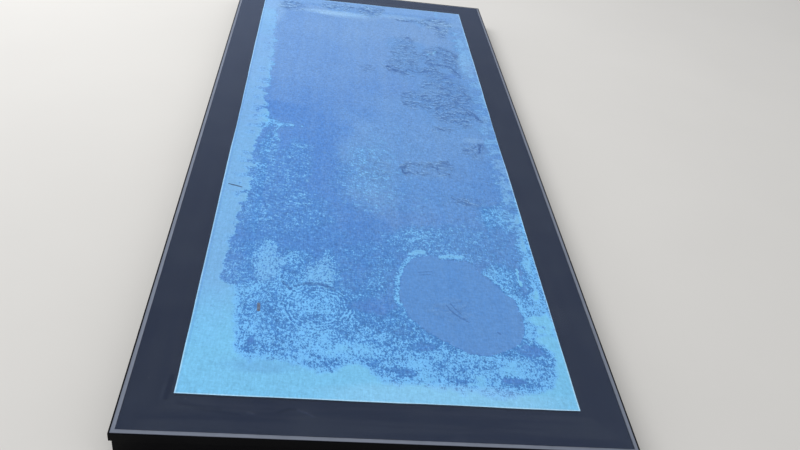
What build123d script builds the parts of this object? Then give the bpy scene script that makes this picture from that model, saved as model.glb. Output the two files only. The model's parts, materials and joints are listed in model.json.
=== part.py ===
from build123d import *

import os
from collections import namedtuple

# A fixed flat-roof skylight: a stepped double-glazed unit on a thermally broken aluminium
# frame, with the blue film that protects the glass still on it.
# Millimetres. +Z is up, +X runs across the width and +Y along the length, away from the near end.
# The origin is the middle of the footprint, at the bottom of the skirt.
# An inset is a distance inwards from the edge of the outer pane. Outside that edge it is negative.

# The glass unit
glass_width = 1100.0
glass_length = 2600.0
border = 100.0  # width of the black band round the glass
outer_glass = 6.0
corner_dub = 1.0  # radius on the upright corners of the outer pane
arris = 0.7  # bevel on every long edge of the outer pane
enamel = 0.1
cavity = 16.0
inner_ply = 4.0
interlayer_thickness = 0.76
step = 60.0  # how far the outer pane oversails the inner one
film_thickness = 0.2

# The spacer between the panes
sealant_width = 5.0
spacer_width = 8.0
spacer_wall = 0.6
spacer_shoulder = 2.0
butyl_height = 0.4
butyl_margin = 1.0
key_leg = 30.0
key_fit = 0.1

# What the glass is held by
seal_width = 9.0  # weather seal between the glass and the lip
seal_sag = 0.6
lip_drop = 1.0  # from the top of the glass down to the lip
bond_inset = 4.0
bond_width = 14.0
bond_height = 5.0
tape_inset = 4.0  # from the edge of the inner pane
tape_width = 15.0
tape_height = 3.0
block_gap = 6.0
block_length = 100.0
block_fit = 0.2

# The frame
wall = 3.0
inner_wall = 2.5
band_height = 22.0  # the tall face below the lip
corner_radius = 0.8
rail_back = 22.0  # inset of the outer rail's back
break_gap = 16.0
ledge_thickness = 3.0
ledge_rise = 8.0  # from the foot of the rails to the underside of the ledge
ledge_reach = 24.0  # how far the ledge runs in under the inner pane
trim_wall = 2.0
toe_reach = 3.0
toe_height = 3.0
drip_groove = 1.6  # width of the half-round groove under the tall face
trim_radius = 0.9
mitre_gap = 0.2

# The polyamide strips that join the two rails
foot_root = 4.8
foot_neck = 3.2
ear_depth = 3.5
ear_wall = 1.6
strip_web = 1.8
strip_fit = 0.1

# The cleats that join the rails at the corners
outer_cleat_leg = 60.0
inner_cleat_leg = 45.0
outer_cleat_wall = 4.0
inner_cleat_wall = 3.0
cleat_fit = 0.2

# The kerb that the skylight is made for, and what meets it
kerb_width = 50.0
kerb_clearance = 4.0
kerb_cover = 40.0  # how far the skirt laps down over the kerb
gasket_inset = 4.0
gasket_height = 5.0
gasket_radius = 1.2
fixing_hole = 5.5
fixing_height = 20.0
long_fixing_count = 6
short_fixing_count = 2
long_margin = 150.0
short_margin = 300.0

# Heights, from the foot of the skirt up
base = kerb_cover + gasket_height
ledge_top = base + ledge_rise + ledge_thickness
inner_bottom = ledge_top + tape_height
interlayer_bottom = inner_bottom + inner_ply
upper_ply_bottom = interlayer_bottom + interlayer_thickness
cavity_bottom = upper_ply_bottom + inner_ply
glass_bottom = cavity_bottom + cavity
enamel_bottom = glass_bottom - enamel
shelf = enamel_bottom - bond_height
glass_top = glass_bottom + outer_glass
lip_top = glass_top - lip_drop
band_foot = lip_top - band_height
spacer_height = enamel_bottom - cavity_bottom - 2 * butyl_height
spacer_middle = (enamel_bottom + cavity_bottom) / 2

# Insets, from the edge of the glass inwards
lip_face = -seal_width - wall
skirt_back = -kerb_clearance
skirt_face = skirt_back - wall
inner_back = rail_back + break_gap
inner_front = step - block_gap
ledge_end = step + ledge_reach
spacer_out = step + sealant_width
spacer_in = spacer_out + spacer_width
ear_height = foot_root + 2 * strip_fit + 2 * ear_wall
lower_strip = base + ear_height / 2
upper_strip = shelf - ear_height / 2

UP = Vector(0, 0, 1)
half_width = glass_width / 2
half_length = glass_length / 2

# Each side of the skylight: its inward direction, the half length of its glass edge, how far
# that edge lies from the middle, and the fixing holes in its skirt.
Side = namedtuple("Side", "inward run reach fixings margin")
SIDES = {
    "near": Side(Vector(0, 1, 0), half_width, half_length, short_fixing_count, short_margin),
    "right": Side(Vector(-1, 0, 0), half_length, half_width, long_fixing_count, long_margin),
    "far": Side(Vector(0, -1, 0), half_width, half_length, short_fixing_count, short_margin),
    "left": Side(Vector(1, 0, 0), half_length, half_width, long_fixing_count, long_margin),
}
# Each corner, by the sign of its x and y
CORNERS = {
    "near_left": (-1, -1),
    "near_right": (1, -1),
    "far_right": (1, 1),
    "far_left": (-1, 1),
}


def section_plane(side, height=0.0):
    """The plane of a side's section: its x is the inset, its y is up, its normal runs along."""
    origin = UP * height - side.inward * side.reach
    return Plane(origin=origin, x_dir=side.inward, z_dir=side.inward.cross(UP))


def slab(inset_0, inset_1, z_0, z_1, mode=Mode.ADD):
    """A rectangle of a section, from one inset and height to another."""
    with Locations(((inset_0 + inset_1) / 2, (z_0 + z_1) / 2)):
        Rectangle(inset_1 - inset_0, z_1 - z_0, mode=mode)


def dovetail(root, mouth, z, fit=0.0, mode=Mode.ADD):
    """A dovetail from its wide root to its narrow mouth, grown by fit above and below."""
    wide = foot_root / 2 + fit
    narrow = foot_neck / 2 + fit
    points = (root, z - wide), (root, z + wide), (mouth, z + narrow), (mouth, z - narrow)
    Polygon(*points, align=None, mode=mode)


def grooved_ear(back, away):
    """The two ears on a rail's back, each with the groove for the foot of a strip."""
    mouth = back + away * ear_depth
    for z in (lower_strip, upper_strip):
        slab(min(back, mouth), max(back, mouth), z - ear_height / 2, z + ear_height / 2)
        dovetail(back, mouth, z, strip_fit, Mode.SUBTRACT)


def outer_rail_section():
    """The weathered rail: lip, tall face, shelf for the bond, chamber, and skirt with a drip toe."""
    chamber_in = rail_back - wall
    slab(lip_face, -seal_width, band_foot, lip_top)
    slab(lip_face, rail_back, shelf - wall, shelf)
    slab(lip_face, skirt_back, band_foot, band_foot + wall)
    slab(skirt_face, skirt_back, 0, band_foot + wall)
    slab(skirt_face - toe_reach, skirt_back, 0, toe_height)
    slab(skirt_face, rail_back, base, base + wall)
    slab(chamber_in, rail_back, base, shelf)
    grooved_ear(rail_back, 1)
    outside = vertices().filter_by(
        lambda v: v.X < lip_face + corner_radius or v.Y > lip_top - corner_radius or v.Y < corner_radius
    )
    fillet(outside, corner_radius)
    with Locations(((lip_face + skirt_face) / 2, band_foot)):
        Circle(drip_groove / 2, mode=Mode.SUBTRACT)


def inner_rail_section():
    """The warm rail: a chamber, and the ledge under the inner pane with its trim leg."""
    slab(inner_back, inner_front, base, shelf)
    chamber = inner_back + inner_wall, inner_front - inner_wall, base + inner_wall, shelf - inner_wall
    slab(*chamber, Mode.SUBTRACT)
    slab(inner_front, ledge_end, ledge_top - ledge_thickness, ledge_top)
    slab(ledge_end - trim_wall, ledge_end, base, ledge_top)
    fillet(vertices().filter_by(lambda v: v.X > ledge_end - trim_wall - trim_radius), trim_radius)
    grooved_ear(inner_back, -1)


def strip_section(z):
    """A thermal break strip: a thin web with a dovetail foot at each end."""
    near_mouth = rail_back + ear_depth
    far_mouth = inner_back - ear_depth
    slab(near_mouth, far_mouth, z - strip_web / 2, z + strip_web / 2)
    dovetail(rail_back + strip_fit, near_mouth, z)
    dovetail(inner_back - strip_fit, far_mouth, z)


def spacer_section(shrink=0.0):
    """The spacer's outline about its mid height, with both shoulders towards the sealant cut off."""
    top = spacer_height / 2
    Polygon(
        (spacer_in, -top),
        (spacer_in, top),
        (spacer_out + spacer_shoulder, top),
        (spacer_out, top - spacer_shoulder),
        (spacer_out, spacer_shoulder - top),
        (spacer_out + spacer_shoulder, -top),
        align=None,
    )
    if shrink:
        offset(amount=-shrink, kind=Kind.INTERSECTION, mode=Mode.REPLACE)


def mitre(side, gap=mitre_gap):
    """Cuts both ends of the bar in hand at 45 degrees, half a joint short of the corner."""
    along = side.inward.cross(UP)
    for end in (along, along * -1):
        normal = (end + side.inward).normalized()
        corner = end * side.run - side.inward * side.reach
        split(bisect_by=Plane(origin=corner - normal * gap / 2, z_dir=normal), keep=Keep.BOTTOM)


def frame_ring(inset_0, inset_1):
    """A flat rectangular ring between two insets."""
    Rectangle(glass_width - 2 * inset_0, glass_length - 2 * inset_0)
    Rectangle(glass_width - 2 * inset_1, glass_length - 2 * inset_1, mode=Mode.SUBTRACT)


def glass_edge():
    """The edge of the outer pane as a closed path that starts in the middle of the near side."""
    Polyline(
        (0, -half_length),
        (half_width, -half_length),
        (half_width, half_length),
        (-half_width, half_length),
        (-half_width, -half_length),
        (0, -half_length),
    )


def leg_plane(corner, side_axis):
    """The plane across a corner's leg: its x is the inset of that side, its normal leaves the corner."""
    x_sign, y_sign = corner
    origin = Vector(x_sign * half_width, y_sign * half_length, spacer_middle)
    inwards = {"x": Vector(-x_sign, 0, 0), "y": Vector(0, -y_sign, 0)}
    across = "y" if side_axis == "x" else "x"
    return Plane(origin=origin, x_dir=inwards[across], z_dir=inwards[side_axis])


def corner_rectangle(corner, x_insets, y_insets, mode=Mode.ADD):
    """A rectangle in plan, given by its two x insets and its two y insets from a corner."""
    x_sign, y_sign = corner
    middle = (
        x_sign * (half_width - sum(x_insets) / 2),
        y_sign * (half_length - sum(y_insets) / 2),
    )
    with Locations(middle):
        Rectangle(x_insets[1] - x_insets[0], y_insets[1] - y_insets[0], mode=mode)


def cleat_plan(corner, outside, inside, leg, web):
    """An L in plan that fills the rails' chambers, with a slot through each leg."""
    end = inside + leg
    corner_rectangle(corner, (outside, end), (outside, inside))
    corner_rectangle(corner, (outside, inside), (outside, end))
    corner_rectangle(corner, (inside + web, end - web), (outside + web, inside - web), Mode.SUBTRACT)
    corner_rectangle(corner, (outside + web, inside - web), (inside + web, end - web), Mode.SUBTRACT)


# The outer pane, toughened, with its edges arrissed
with BuildPart() as outer_pane:
    with BuildSketch(Plane.XY.offset(glass_bottom)):
        Rectangle(glass_width, glass_length)
    extrude(amount=outer_glass)
    fillet(outer_pane.edges().filter_by(Axis.Z), corner_dub)
    faces_up_down = outer_pane.faces().filter_by(Axis.Z)
    chamfer(faces_up_down.edges(), arris)
outer_pane.part.label = "outer_pane"
export_step(outer_pane.part, "parts/outer_pane.step")

# The black enamel, fired on the underside of the outer pane
with BuildPart() as black_border:
    with BuildSketch(Plane.XY.offset(enamel_bottom)):
        frame_ring(arris, border)
    extrude(amount=enamel)
black_border.part.label = "black_border"
export_step(black_border.part, "parts/black_border.step")

# The protective film, trimmed along the inner line of the border
with BuildPart() as protective_film:
    with BuildSketch(Plane.XY.offset(glass_top)):
        Rectangle(glass_width - 2 * border, glass_length - 2 * border)
    extrude(amount=film_thickness)
protective_film.part.label = "protective_film"
export_step(protective_film.part, "parts/protective_film.step")

# The laminated inner pane: two plies and the sheet between them
inner_width = glass_width - 2 * step
inner_length = glass_length - 2 * step
with BuildPart() as inner_pane_lower_ply:
    with BuildSketch(Plane.XY.offset(inner_bottom)):
        Rectangle(inner_width, inner_length)
    extrude(amount=inner_ply)
inner_pane_lower_ply.part.label = "inner_pane_lower_ply"
export_step(inner_pane_lower_ply.part, "parts/inner_pane_lower_ply.step")

with BuildPart() as inner_pane_interlayer:
    with BuildSketch(Plane.XY.offset(interlayer_bottom)):
        Rectangle(inner_width, inner_length)
    extrude(amount=interlayer_thickness)
inner_pane_interlayer.part.label = "inner_pane_interlayer"
export_step(inner_pane_interlayer.part, "parts/inner_pane_interlayer.step")

with BuildPart() as inner_pane_upper_ply:
    with BuildSketch(Plane.XY.offset(upper_ply_bottom)):
        Rectangle(inner_width, inner_length)
    extrude(amount=inner_ply)
inner_pane_upper_ply.part.label = "inner_pane_upper_ply"
export_step(inner_pane_upper_ply.part, "parts/inner_pane_upper_ply.step")

# The hollow spacer bars, cut square where the corner keys start
for name, side in SIDES.items():
    with BuildPart() as spacer_bar:
        with BuildSketch(section_plane(side, spacer_middle)):
            spacer_section()
        extrude(amount=side.run - spacer_in, both=True)
        with BuildSketch(section_plane(side, spacer_middle)):
            spacer_section(spacer_wall)
        extrude(amount=side.run, both=True, mode=Mode.SUBTRACT)
    spacer_bar.part.label = f"spacer_bar_{name}"
    export_step(spacer_bar.part, f"parts/spacer_bar_{name}.step")

# The corner keys: a block that carries the spacer round the corner, and a leg up each bar
for name, corner in CORNERS.items():
    with BuildPart() as corner_key:
        with BuildSketch(leg_plane(corner, "x")):
            spacer_section()
        extrude(amount=spacer_in)
        with BuildSketch(leg_plane(corner, "y")):
            spacer_section()
        extrude(amount=spacer_in, mode=Mode.INTERSECT)
        for side_axis in ("x", "y"):
            with BuildSketch(leg_plane(corner, side_axis).offset(spacer_in)):
                spacer_section(spacer_wall + key_fit)
            extrude(amount=key_leg)
    corner_key.part.label = f"spacer_key_{name}"
    export_step(corner_key.part, f"parts/spacer_key_{name}.step")

# The drying agent that fills the spacer bars between the keys, one fill in each bar
with BuildPart() as desiccant_fill:
    for side in SIDES.values():
        with BuildSketch(section_plane(side, spacer_middle)):
            spacer_section(spacer_wall + key_fit)
        extrude(amount=side.run - spacer_in - key_leg - key_fit, both=True)
desiccant_fill.part.label = "desiccant_fill"
export_step(desiccant_fill.part, "parts/desiccant_fill.step")

# The butyl beads that stick the spacer to each pane
with BuildPart() as butyl_seal_upper:
    with BuildSketch(Plane.XY.offset(enamel_bottom - butyl_height)):
        frame_ring(spacer_out + spacer_shoulder, spacer_in - butyl_margin)
    extrude(amount=butyl_height)
butyl_seal_upper.part.label = "butyl_seal_upper"
export_step(butyl_seal_upper.part, "parts/butyl_seal_upper.step")

with BuildPart() as butyl_seal_lower:
    with BuildSketch(Plane.XY.offset(cavity_bottom)):
        frame_ring(spacer_out + spacer_shoulder, spacer_in - butyl_margin)
    extrude(amount=butyl_height)
butyl_seal_lower.part.label = "butyl_seal_lower"
export_step(butyl_seal_lower.part, "parts/butyl_seal_lower.step")

# The sealant that closes the unit's edge, flush with the inner pane and round the shoulders
with BuildPart() as edge_sealant:
    with BuildLine():
        glass_edge()
    with BuildSketch(section_plane(SIDES["near"])):
        shoulder_in = spacer_out + spacer_shoulder
        slab(step, spacer_out, cavity_bottom, enamel_bottom)
        for face, away in ((cavity_bottom, 1), (enamel_bottom, -1)):
            flat = face + away * butyl_height
            Polygon(
                (spacer_out, face),
                (shoulder_in, face),
                (shoulder_in, flat),
                (spacer_out, flat + away * spacer_shoulder),
                align=None,
            )
    sweep(transition=Transition.RIGHT)
edge_sealant.part.label = "edge_sealant"
export_step(edge_sealant.part, "parts/edge_sealant.step")

# The weather seal between the glass and the lip, tooled to a slight hollow
with BuildPart() as weather_seal:
    with BuildLine():
        glass_edge()
    with BuildSketch(section_plane(SIDES["near"])):
        with BuildLine():
            at_lip = (-seal_width, lip_top - corner_radius)
            at_glass = (0, glass_top - arris)
            lowest = (-seal_width / 2, (at_lip[1] + at_glass[1]) / 2 - seal_sag)
            ThreePointArc(at_lip, lowest, at_glass)
            Polyline(at_glass, (0, shelf), (-seal_width, shelf), at_lip)
        make_face()
    sweep(transition=Transition.RIGHT)
weather_seal.part.label = "weather_seal"
export_step(weather_seal.part, "parts/weather_seal.step")

# The structural bond that holds the outer pane on the shelf
with BuildPart() as structural_bond:
    with BuildSketch(Plane.XY.offset(shelf)):
        frame_ring(bond_inset, bond_inset + bond_width)
    extrude(amount=bond_height)
structural_bond.part.label = "structural_bond"
export_step(structural_bond.part, "parts/structural_bond.step")

# The rails, the strips between them, the tape under the inner pane and the gasket on the kerb
for name, side in SIDES.items():
    length = side.run - lip_face

    with BuildPart() as outer_rail:
        with BuildSketch(section_plane(side)):
            outer_rail_section()
        extrude(amount=length, both=True)
        mitre(side)
        span = 2 * (side.run - side.margin)
        hole_plane = Plane(
            origin=UP * fixing_height - side.inward * side.reach,
            x_dir=side.inward.cross(UP),
            z_dir=side.inward,
        )
        with BuildSketch(hole_plane):
            with GridLocations(span / (side.fixings - 1), 1, side.fixings, 1):
                Circle(fixing_hole / 2)
        extrude(amount=lip_face, mode=Mode.SUBTRACT)
    outer_rail.part.label = f"outer_rail_{name}"
    export_step(outer_rail.part, f"parts/outer_rail_{name}.step")

    with BuildPart() as inner_rail:
        with BuildSketch(section_plane(side)):
            inner_rail_section()
        extrude(amount=length, both=True)
        mitre(side)
    inner_rail.part.label = f"inner_rail_{name}"
    export_step(inner_rail.part, f"parts/inner_rail_{name}.step")

    for level, z in (("lower", lower_strip), ("upper", upper_strip)):
        with BuildPart() as break_strip:
            with BuildSketch(section_plane(side)):
                strip_section(z)
            extrude(amount=length, both=True)
            mitre(side)
        break_strip.part.label = f"{level}_break_strip_{name}"
        export_step(break_strip.part, f"parts/{level}_break_strip_{name}.step")

    with BuildPart() as glazing_tape:
        with BuildSketch(section_plane(side)):
            slab(step + tape_inset, step + tape_inset + tape_width, ledge_top, inner_bottom)
        extrude(amount=length, both=True)
        mitre(side)
    glazing_tape.part.label = f"glazing_tape_{name}"
    export_step(glazing_tape.part, f"parts/glazing_tape_{name}.step")

    with BuildPart() as kerb_gasket:
        with BuildSketch(section_plane(side)):
            slab(gasket_inset, kerb_width - gasket_inset, kerb_cover, base)
            fillet(vertices().group_by(Axis.Y)[0], gasket_radius)
        extrude(amount=length, both=True)
        mitre(side)
    kerb_gasket.part.label = f"kerb_gasket_{name}"
    export_step(kerb_gasket.part, f"parts/kerb_gasket_{name}.step")

# The blocks that keep the inner pane off the rail, two on each side
with BuildPart() as setting_blocks:
    for side in SIDES.values():
        for quarter in (-side.run / 2, side.run / 2):
            with BuildSketch(section_plane(side).offset(quarter)):
                slab(inner_front + block_fit, step - block_fit, ledge_top, cavity_bottom)
            extrude(amount=block_length / 2, both=True)
setting_blocks.part.label = "setting_blocks"
export_step(setting_blocks.part, "parts/setting_blocks.step")

# The corner cleats, pressed into the chambers of the rails
for name, corner in CORNERS.items():
    with BuildPart() as outer_cleat:
        with BuildSketch(Plane.XY.offset(base + wall + cleat_fit)):
            outside = skirt_back + cleat_fit
            inside = rail_back - wall - cleat_fit
            cleat_plan(corner, outside, inside, outer_cleat_leg, outer_cleat_wall)
        extrude(amount=shelf - base - 2 * (wall + cleat_fit))
    outer_cleat.part.label = f"outer_cleat_{name}"
    export_step(outer_cleat.part, f"parts/outer_cleat_{name}.step")

    with BuildPart() as inner_cleat:
        with BuildSketch(Plane.XY.offset(base + inner_wall + cleat_fit)):
            outside = inner_back + inner_wall + cleat_fit
            inside = inner_front - inner_wall - cleat_fit
            cleat_plan(corner, outside, inside, inner_cleat_leg, inner_cleat_wall)
        extrude(amount=shelf - base - 2 * (inner_wall + cleat_fit))
    inner_cleat.part.label = f"inner_cleat_{name}"
    export_step(inner_cleat.part, f"parts/inner_cleat_{name}.step")
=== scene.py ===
"""A flat-roof skylight with its blue protective film still on: the shaped pieces, finishes and stage.

Lengths are in metres, in the part's own frame: the origin is the middle of the footprint at the
foot of the skirt, +X runs across the width, +Y along the length, +Z up. An inset is a distance
inwards from the edge of the outer pane.
"""

import json
import math

import bpy
import numpy as np
from bpy.props import FloatProperty, FloatVectorProperty, PointerProperty
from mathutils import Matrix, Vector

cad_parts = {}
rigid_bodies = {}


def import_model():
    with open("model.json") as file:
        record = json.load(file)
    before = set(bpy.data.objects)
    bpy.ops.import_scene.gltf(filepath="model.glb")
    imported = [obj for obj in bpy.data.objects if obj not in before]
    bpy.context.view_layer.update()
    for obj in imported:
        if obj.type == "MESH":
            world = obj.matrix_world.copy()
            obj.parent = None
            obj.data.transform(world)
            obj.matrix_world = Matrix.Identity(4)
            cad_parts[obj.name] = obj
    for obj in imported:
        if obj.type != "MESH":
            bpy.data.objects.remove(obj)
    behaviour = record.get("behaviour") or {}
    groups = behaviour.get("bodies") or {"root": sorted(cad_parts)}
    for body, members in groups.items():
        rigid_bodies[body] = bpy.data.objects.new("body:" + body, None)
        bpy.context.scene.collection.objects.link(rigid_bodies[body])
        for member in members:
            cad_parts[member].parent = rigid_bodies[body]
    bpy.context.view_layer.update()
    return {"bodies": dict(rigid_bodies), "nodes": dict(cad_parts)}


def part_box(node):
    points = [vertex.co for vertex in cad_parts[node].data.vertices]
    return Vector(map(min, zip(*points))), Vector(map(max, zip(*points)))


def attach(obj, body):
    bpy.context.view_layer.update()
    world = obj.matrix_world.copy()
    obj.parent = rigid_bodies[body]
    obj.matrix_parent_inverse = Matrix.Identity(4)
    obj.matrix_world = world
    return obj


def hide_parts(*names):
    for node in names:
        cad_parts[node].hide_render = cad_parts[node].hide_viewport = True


bl_info = {
    "name": "Roof skylight",
    "version": (1, 0, 0),
    "blender": (4, 5, 0),
    "location": "View3D > Sidebar > Skylight",
    "description": "Dresses a flat-roof skylight: film, enamel border, weather seal, glass, frame and stage",
    "category": "Object",
}

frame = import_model()
BODY = next(iter(frame["bodies"]))

PANE_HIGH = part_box("outer_pane")[1]
FILM_LOW, FILM_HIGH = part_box("protective_film")
SEAL_LOW, SEAL_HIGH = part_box("weather_seal")
BORDER_LOW, BORDER_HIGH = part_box("black_border")
LAYER_LOW, LAYER_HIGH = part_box("inner_pane_interlayer")
MM = 0.001
# Faces that meet at more than this angle show a sharp edge
SHARP_EDGE = math.radians(40.0)


# Sizes and colours


def length(name, description, default):
    """A length in metres that a user may change."""
    return FloatProperty(
        name=name, description=description, default=default, subtype="DISTANCE", unit="LENGTH"
    )


def colour(name, description, default):
    """A linear colour."""
    return FloatVectorProperty(
        name=name, description=description, default=default, size=3, min=0.0, max=1.0, subtype="COLOR"
    )


class FilmSettings(bpy.types.PropertyGroup):
    """The blue protective film."""

    deep: colour("Deep blue", "Where the film still clings to the glass", (0.066, 0.212, 0.568))
    faded: colour("Faded blue", "Where sun and dust have faded it", (0.166, 0.322, 0.600))
    greyed: colour("Greyed blue", "Where it is slack over trapped dirt", (0.098, 0.282, 0.622))
    pale: colour("Pale blue", "Where the film has let go of the glass", (0.172, 0.515, 0.805))
    fleck_light: colour("Fleck light", "Pale flecks in speckled places", (0.155, 0.470, 0.900))
    # Painted shadow of the lifted flecks, between them in speckled places
    fleck_shade: colour("Fleck dark", "Between the flecks in speckled places", (0.032, 0.168, 0.480))
    pale_dull: colour("Dull pale blue", "Pale blue where it is soiled or faded", (0.165, 0.335, 0.640))
    # Painted shade in the bottom of creases; the dark strokes take this colour too
    crease_shade_and_marks: colour("Crease blue", "In the bottom of creases", (0.034, 0.108, 0.315))
    # Painted highlight along the lifted cut edge and on the lips of folds; whitened places move towards it
    # too
    glint_and_haze: colour("Cut edge", "Stretched line along the cut edge", (0.420, 0.700, 0.930))
    bedding: length("Bedding gap", "Air between the glass and the film's underside", 0.05 * MM)
    thickness: length("Thickness", "Thickness of the film itself", 0.12 * MM)
    wrinkle: length("Wrinkle height", "Highest wrinkles, where the film has puckered", 1.3 * MM)
    curl: length("Edge curl", "How far the cut edge lifts", 0.45 * MM)
    cut_waver: length("Cut waver", "How much the cut edge wanders", 4.0 * MM)
    fleck: length("Fleck size", "Size of the pale flecks", 3.7 * MM)
    fold: length("Fold spacing", "Distance between fine folds", 17.0 * MM)


class GlassSettings(bpy.types.PropertyGroup):
    """The panes, the enamel border and the sheet between the inner plies."""

    tint: colour("Glass tint", "Colour of the clear glass", (0.900, 0.945, 0.960))
    dusty: colour("Dusty glass", "The outer pane where dust lies", (0.660, 0.780, 1.000))
    wiped: colour("Wiped glass", "The outer pane where a cloth has been", (0.345, 0.440, 0.720))
    enamel: colour("Enamel", "Black enamel of the border", (0.0050, 0.0065, 0.0160))
    interlayer: colour("Interlayer", "Butyral sheet between the inner plies", (0.930, 0.955, 0.950))
    overlap: length("Overlap", "How far the enamel and the sheet reach into their glass", 0.05 * MM)
    print_waver: length("Print waver", "How much the border's inner line wanders", 0.30 * MM)


class FrameSettings(bpy.types.PropertyGroup):
    """The frame, its seal and what is hidden inside it."""

    black_coat: colour("Black coat", "Powder coat of the outer rails", (0.0016, 0.0017, 0.0026))
    white_coat: colour("White coat", "Powder coat of the inner rails", (0.800, 0.800, 0.790))
    dust: colour("Dust", "Dust that settles on ledges and seals", (0.330, 0.310, 0.290))
    sealant: colour("Weather seal", "Grey silicone round the glass", (0.172, 0.194, 0.245))
    metal: colour("Mill aluminium", "Corner cleats and spacer bars", (0.660, 0.670, 0.680))
    grey_plastic: colour("Grey plastic", "Spacer keys and setting blocks", (0.350, 0.360, 0.380))
    seal_fall: length("Seal fall", "How far the seal falls from the glass to the lip", 1.1 * MM)
    sag: length("Seal sag", "Depth of the tooled hollow", 0.6 * MM)
    sag_change: length("Seal sag change", "How much the tooled hollow varies along the seal", 0.25 * MM)
    seal_waver: length("Seal waver", "How much the seal's edges wander", 0.30 * MM)


class StageSettings(bpy.types.PropertyGroup):
    """Floor, sky, lamp and camera."""

    floor: colour("Floor", "Pale floor", (0.640, 0.630, 0.610))
    sky: colour("Sky", "What the camera, glass and metal see behind the object", (0.365, 0.458, 0.690))
    sky_light: FloatProperty(name="Sky light", description="Soft light from all round", default=0.66, min=0.0)
    lamp_power: FloatProperty(name="Lamp", description="Power of the large soft lamp", default=200.0, min=0.0)
    lamp_size: length("Lamp size", "Width of the large soft lamp", 3.5)
    lamp_place: FloatVectorProperty(
        name="Lamp place", description="Where the lamp hangs, turned towards the object's middle",
        default=(-2.6, 2.2, 4.2), subtype="TRANSLATION", unit="LENGTH",
    )
    lens: FloatProperty(name="Lens", description="Focal length in millimetres", default=35.17, min=1.0)
    camera_place: FloatVectorProperty(
        name="Camera place", description="Where the camera stands", default=(-0.1988, -2.3549, 1.4112),
        subtype="TRANSLATION", unit="LENGTH",
    )
    camera_turn: FloatVectorProperty(
        name="Camera turn", description="How the camera is turned",
        default=tuple(math.radians(a) for a in (54.036, -7.385, -3.171)), subtype="EULER", unit="ROTATION",
    )


# Fields: smooth functions of the place on the film, worked out as whole arrays


def cloud(x, y, size, seed, octaves=3):
    """Soft random patches of a given size, from 0 to 1: heights drawn on a square lattice, joined by
    an eased blend of the four round each point, and halved in size and weight for each octave."""
    total = np.zeros(np.broadcast(x, y).shape)
    weight_sum = 0.0
    for octave in range(octaves):
        step = size / 2**octave
        weight = 0.5**octave
        u, v = x / step, y / step
        i, j = np.floor(u).astype(int), np.floor(v).astype(int)
        a, b = u - i, v - j
        a, b = a * a * (3 - 2 * a), b * b * (3 - 2 * b)
        i, j = i - i.min(), j - j.min()
        lattice = np.random.default_rng(seed + octave).random((i.max() + 2, j.max() + 2))
        low = lattice[i, j] * (1 - a) + lattice[i + 1, j] * a
        high = lattice[i, j + 1] * (1 - a) + lattice[i + 1, j + 1] * a
        total += weight * (low * (1 - b) + high * b)
        weight_sum += weight
    return total / weight_sum


def swing(x, y, size, seed, width, octaves=3):
    """The same patches about 0, with a width from lowest to highest."""
    return (cloud(x, y, size, seed, octaves) - 0.5) * width


def eased(value, low, high):
    """0 below low, 1 above high, and a smooth rise between them."""
    t = np.clip((value - low) / (high - low), 0.0, 1.0)
    return t * t * (3 - 2 * t)


def towards(field, value, weight):
    """A field moved towards a value by a weight, from 0 to 1."""
    return field + (value - field) * weight


def painted(field, x, y, patches):
    """Blends a field towards each patch's value in turn. A patch is its centre, half width, half
    height and value, and its weight falls from 1 to 0 as the elliptical distance goes from 0.65 to 1.25."""
    for centre_x, centre_y, half_x, half_y, value in patches:
        away = np.hypot((x - centre_x) / half_x, (y - centre_y) / half_y)
        field = towards(field, value, 1 - eased(away, 0.65, 1.25))
    return field


def line_distance(x, y, points):
    """Distance to a line of straight runs: the least, over the runs, of the distance to the nearest
    point of each."""
    nearest = np.full(np.broadcast(x, y).shape, np.inf)
    for (ax, ay), (bx, by) in zip(points[:-1], points[1:]):
        dx, dy = bx - ax, by - ay
        t = np.clip(((x - ax) * dx + (y - ay) * dy) / (dx * dx + dy * dy), 0.0, 1.0)
        nearest = np.minimum(nearest, np.hypot(x - ax - t * dx, y - ay - t * dy))
    return nearest


def outline_distance(x, y, outline):
    """Distance to a closed outline, positive inside: a point is inside where a ray from it to +X
    crosses the outline an odd number of times."""
    closed = outline + outline[:1]
    inside = np.zeros(np.broadcast(x, y).shape, bool)
    for (ax, ay), (bx, by) in zip(closed[:-1], closed[1:]):
        spans = (ay > y) != (by > y)
        cross_x = ax + (y - ay) / (by - ay if by != ay else 1.0) * (bx - ax)
        inside ^= spans & (x < cross_x)
    return np.where(inside, 1.0, -1.0) * line_distance(x, y, closed)


# Meshes


def outward(vertices, faces):
    """Turns the faces of a closed mesh round if its signed volume, the sum over the triangles of
    each face of a dot (b cross c) / 6, is negative."""
    a, b, c = (vertices[faces[:, k]] for k in (0, 1, 2))
    volume = np.einsum("ij,ij->i", a, np.cross(b, c)).sum()
    d = vertices[faces[:, -1]]
    volume += np.einsum("ij,ij->i", a, np.cross(c, d)).sum()
    return faces[:, ::-1] if volume < 0 else faces


def make_piece(name, vertices, faces, material, replaced):
    """Puts arrays of vertices and faces into a new smooth mesh and sets it in place of CAD nodes."""
    mesh = bpy.data.meshes.new(name)
    mesh.from_pydata(vertices.tolist(), [], [list(face) for face in faces])
    mesh.update()
    mesh.shade_smooth()
    mesh.set_sharp_from_angle(angle=SHARP_EDGE)
    mesh.materials.append(material)
    piece = bpy.data.objects.new(name, mesh)
    bpy.context.scene.collection.objects.link(piece)
    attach(piece, BODY)
    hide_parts(*replaced)
    return piece


def set_field(piece, name, values):
    """Stores one number for each vertex of a piece."""
    attribute = piece.data.attributes.new(name, "FLOAT", "POINT")
    attribute.data.foreach_set("value", np.asarray(values, np.float32).ravel())


def grid_lines(low, before, middle, after, high):
    """Lines from low to high: so many before the middle, and so many from it on."""
    first = np.linspace(low, middle, before, endpoint=False)
    return np.concatenate([first, np.linspace(middle, high, after)])


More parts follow.
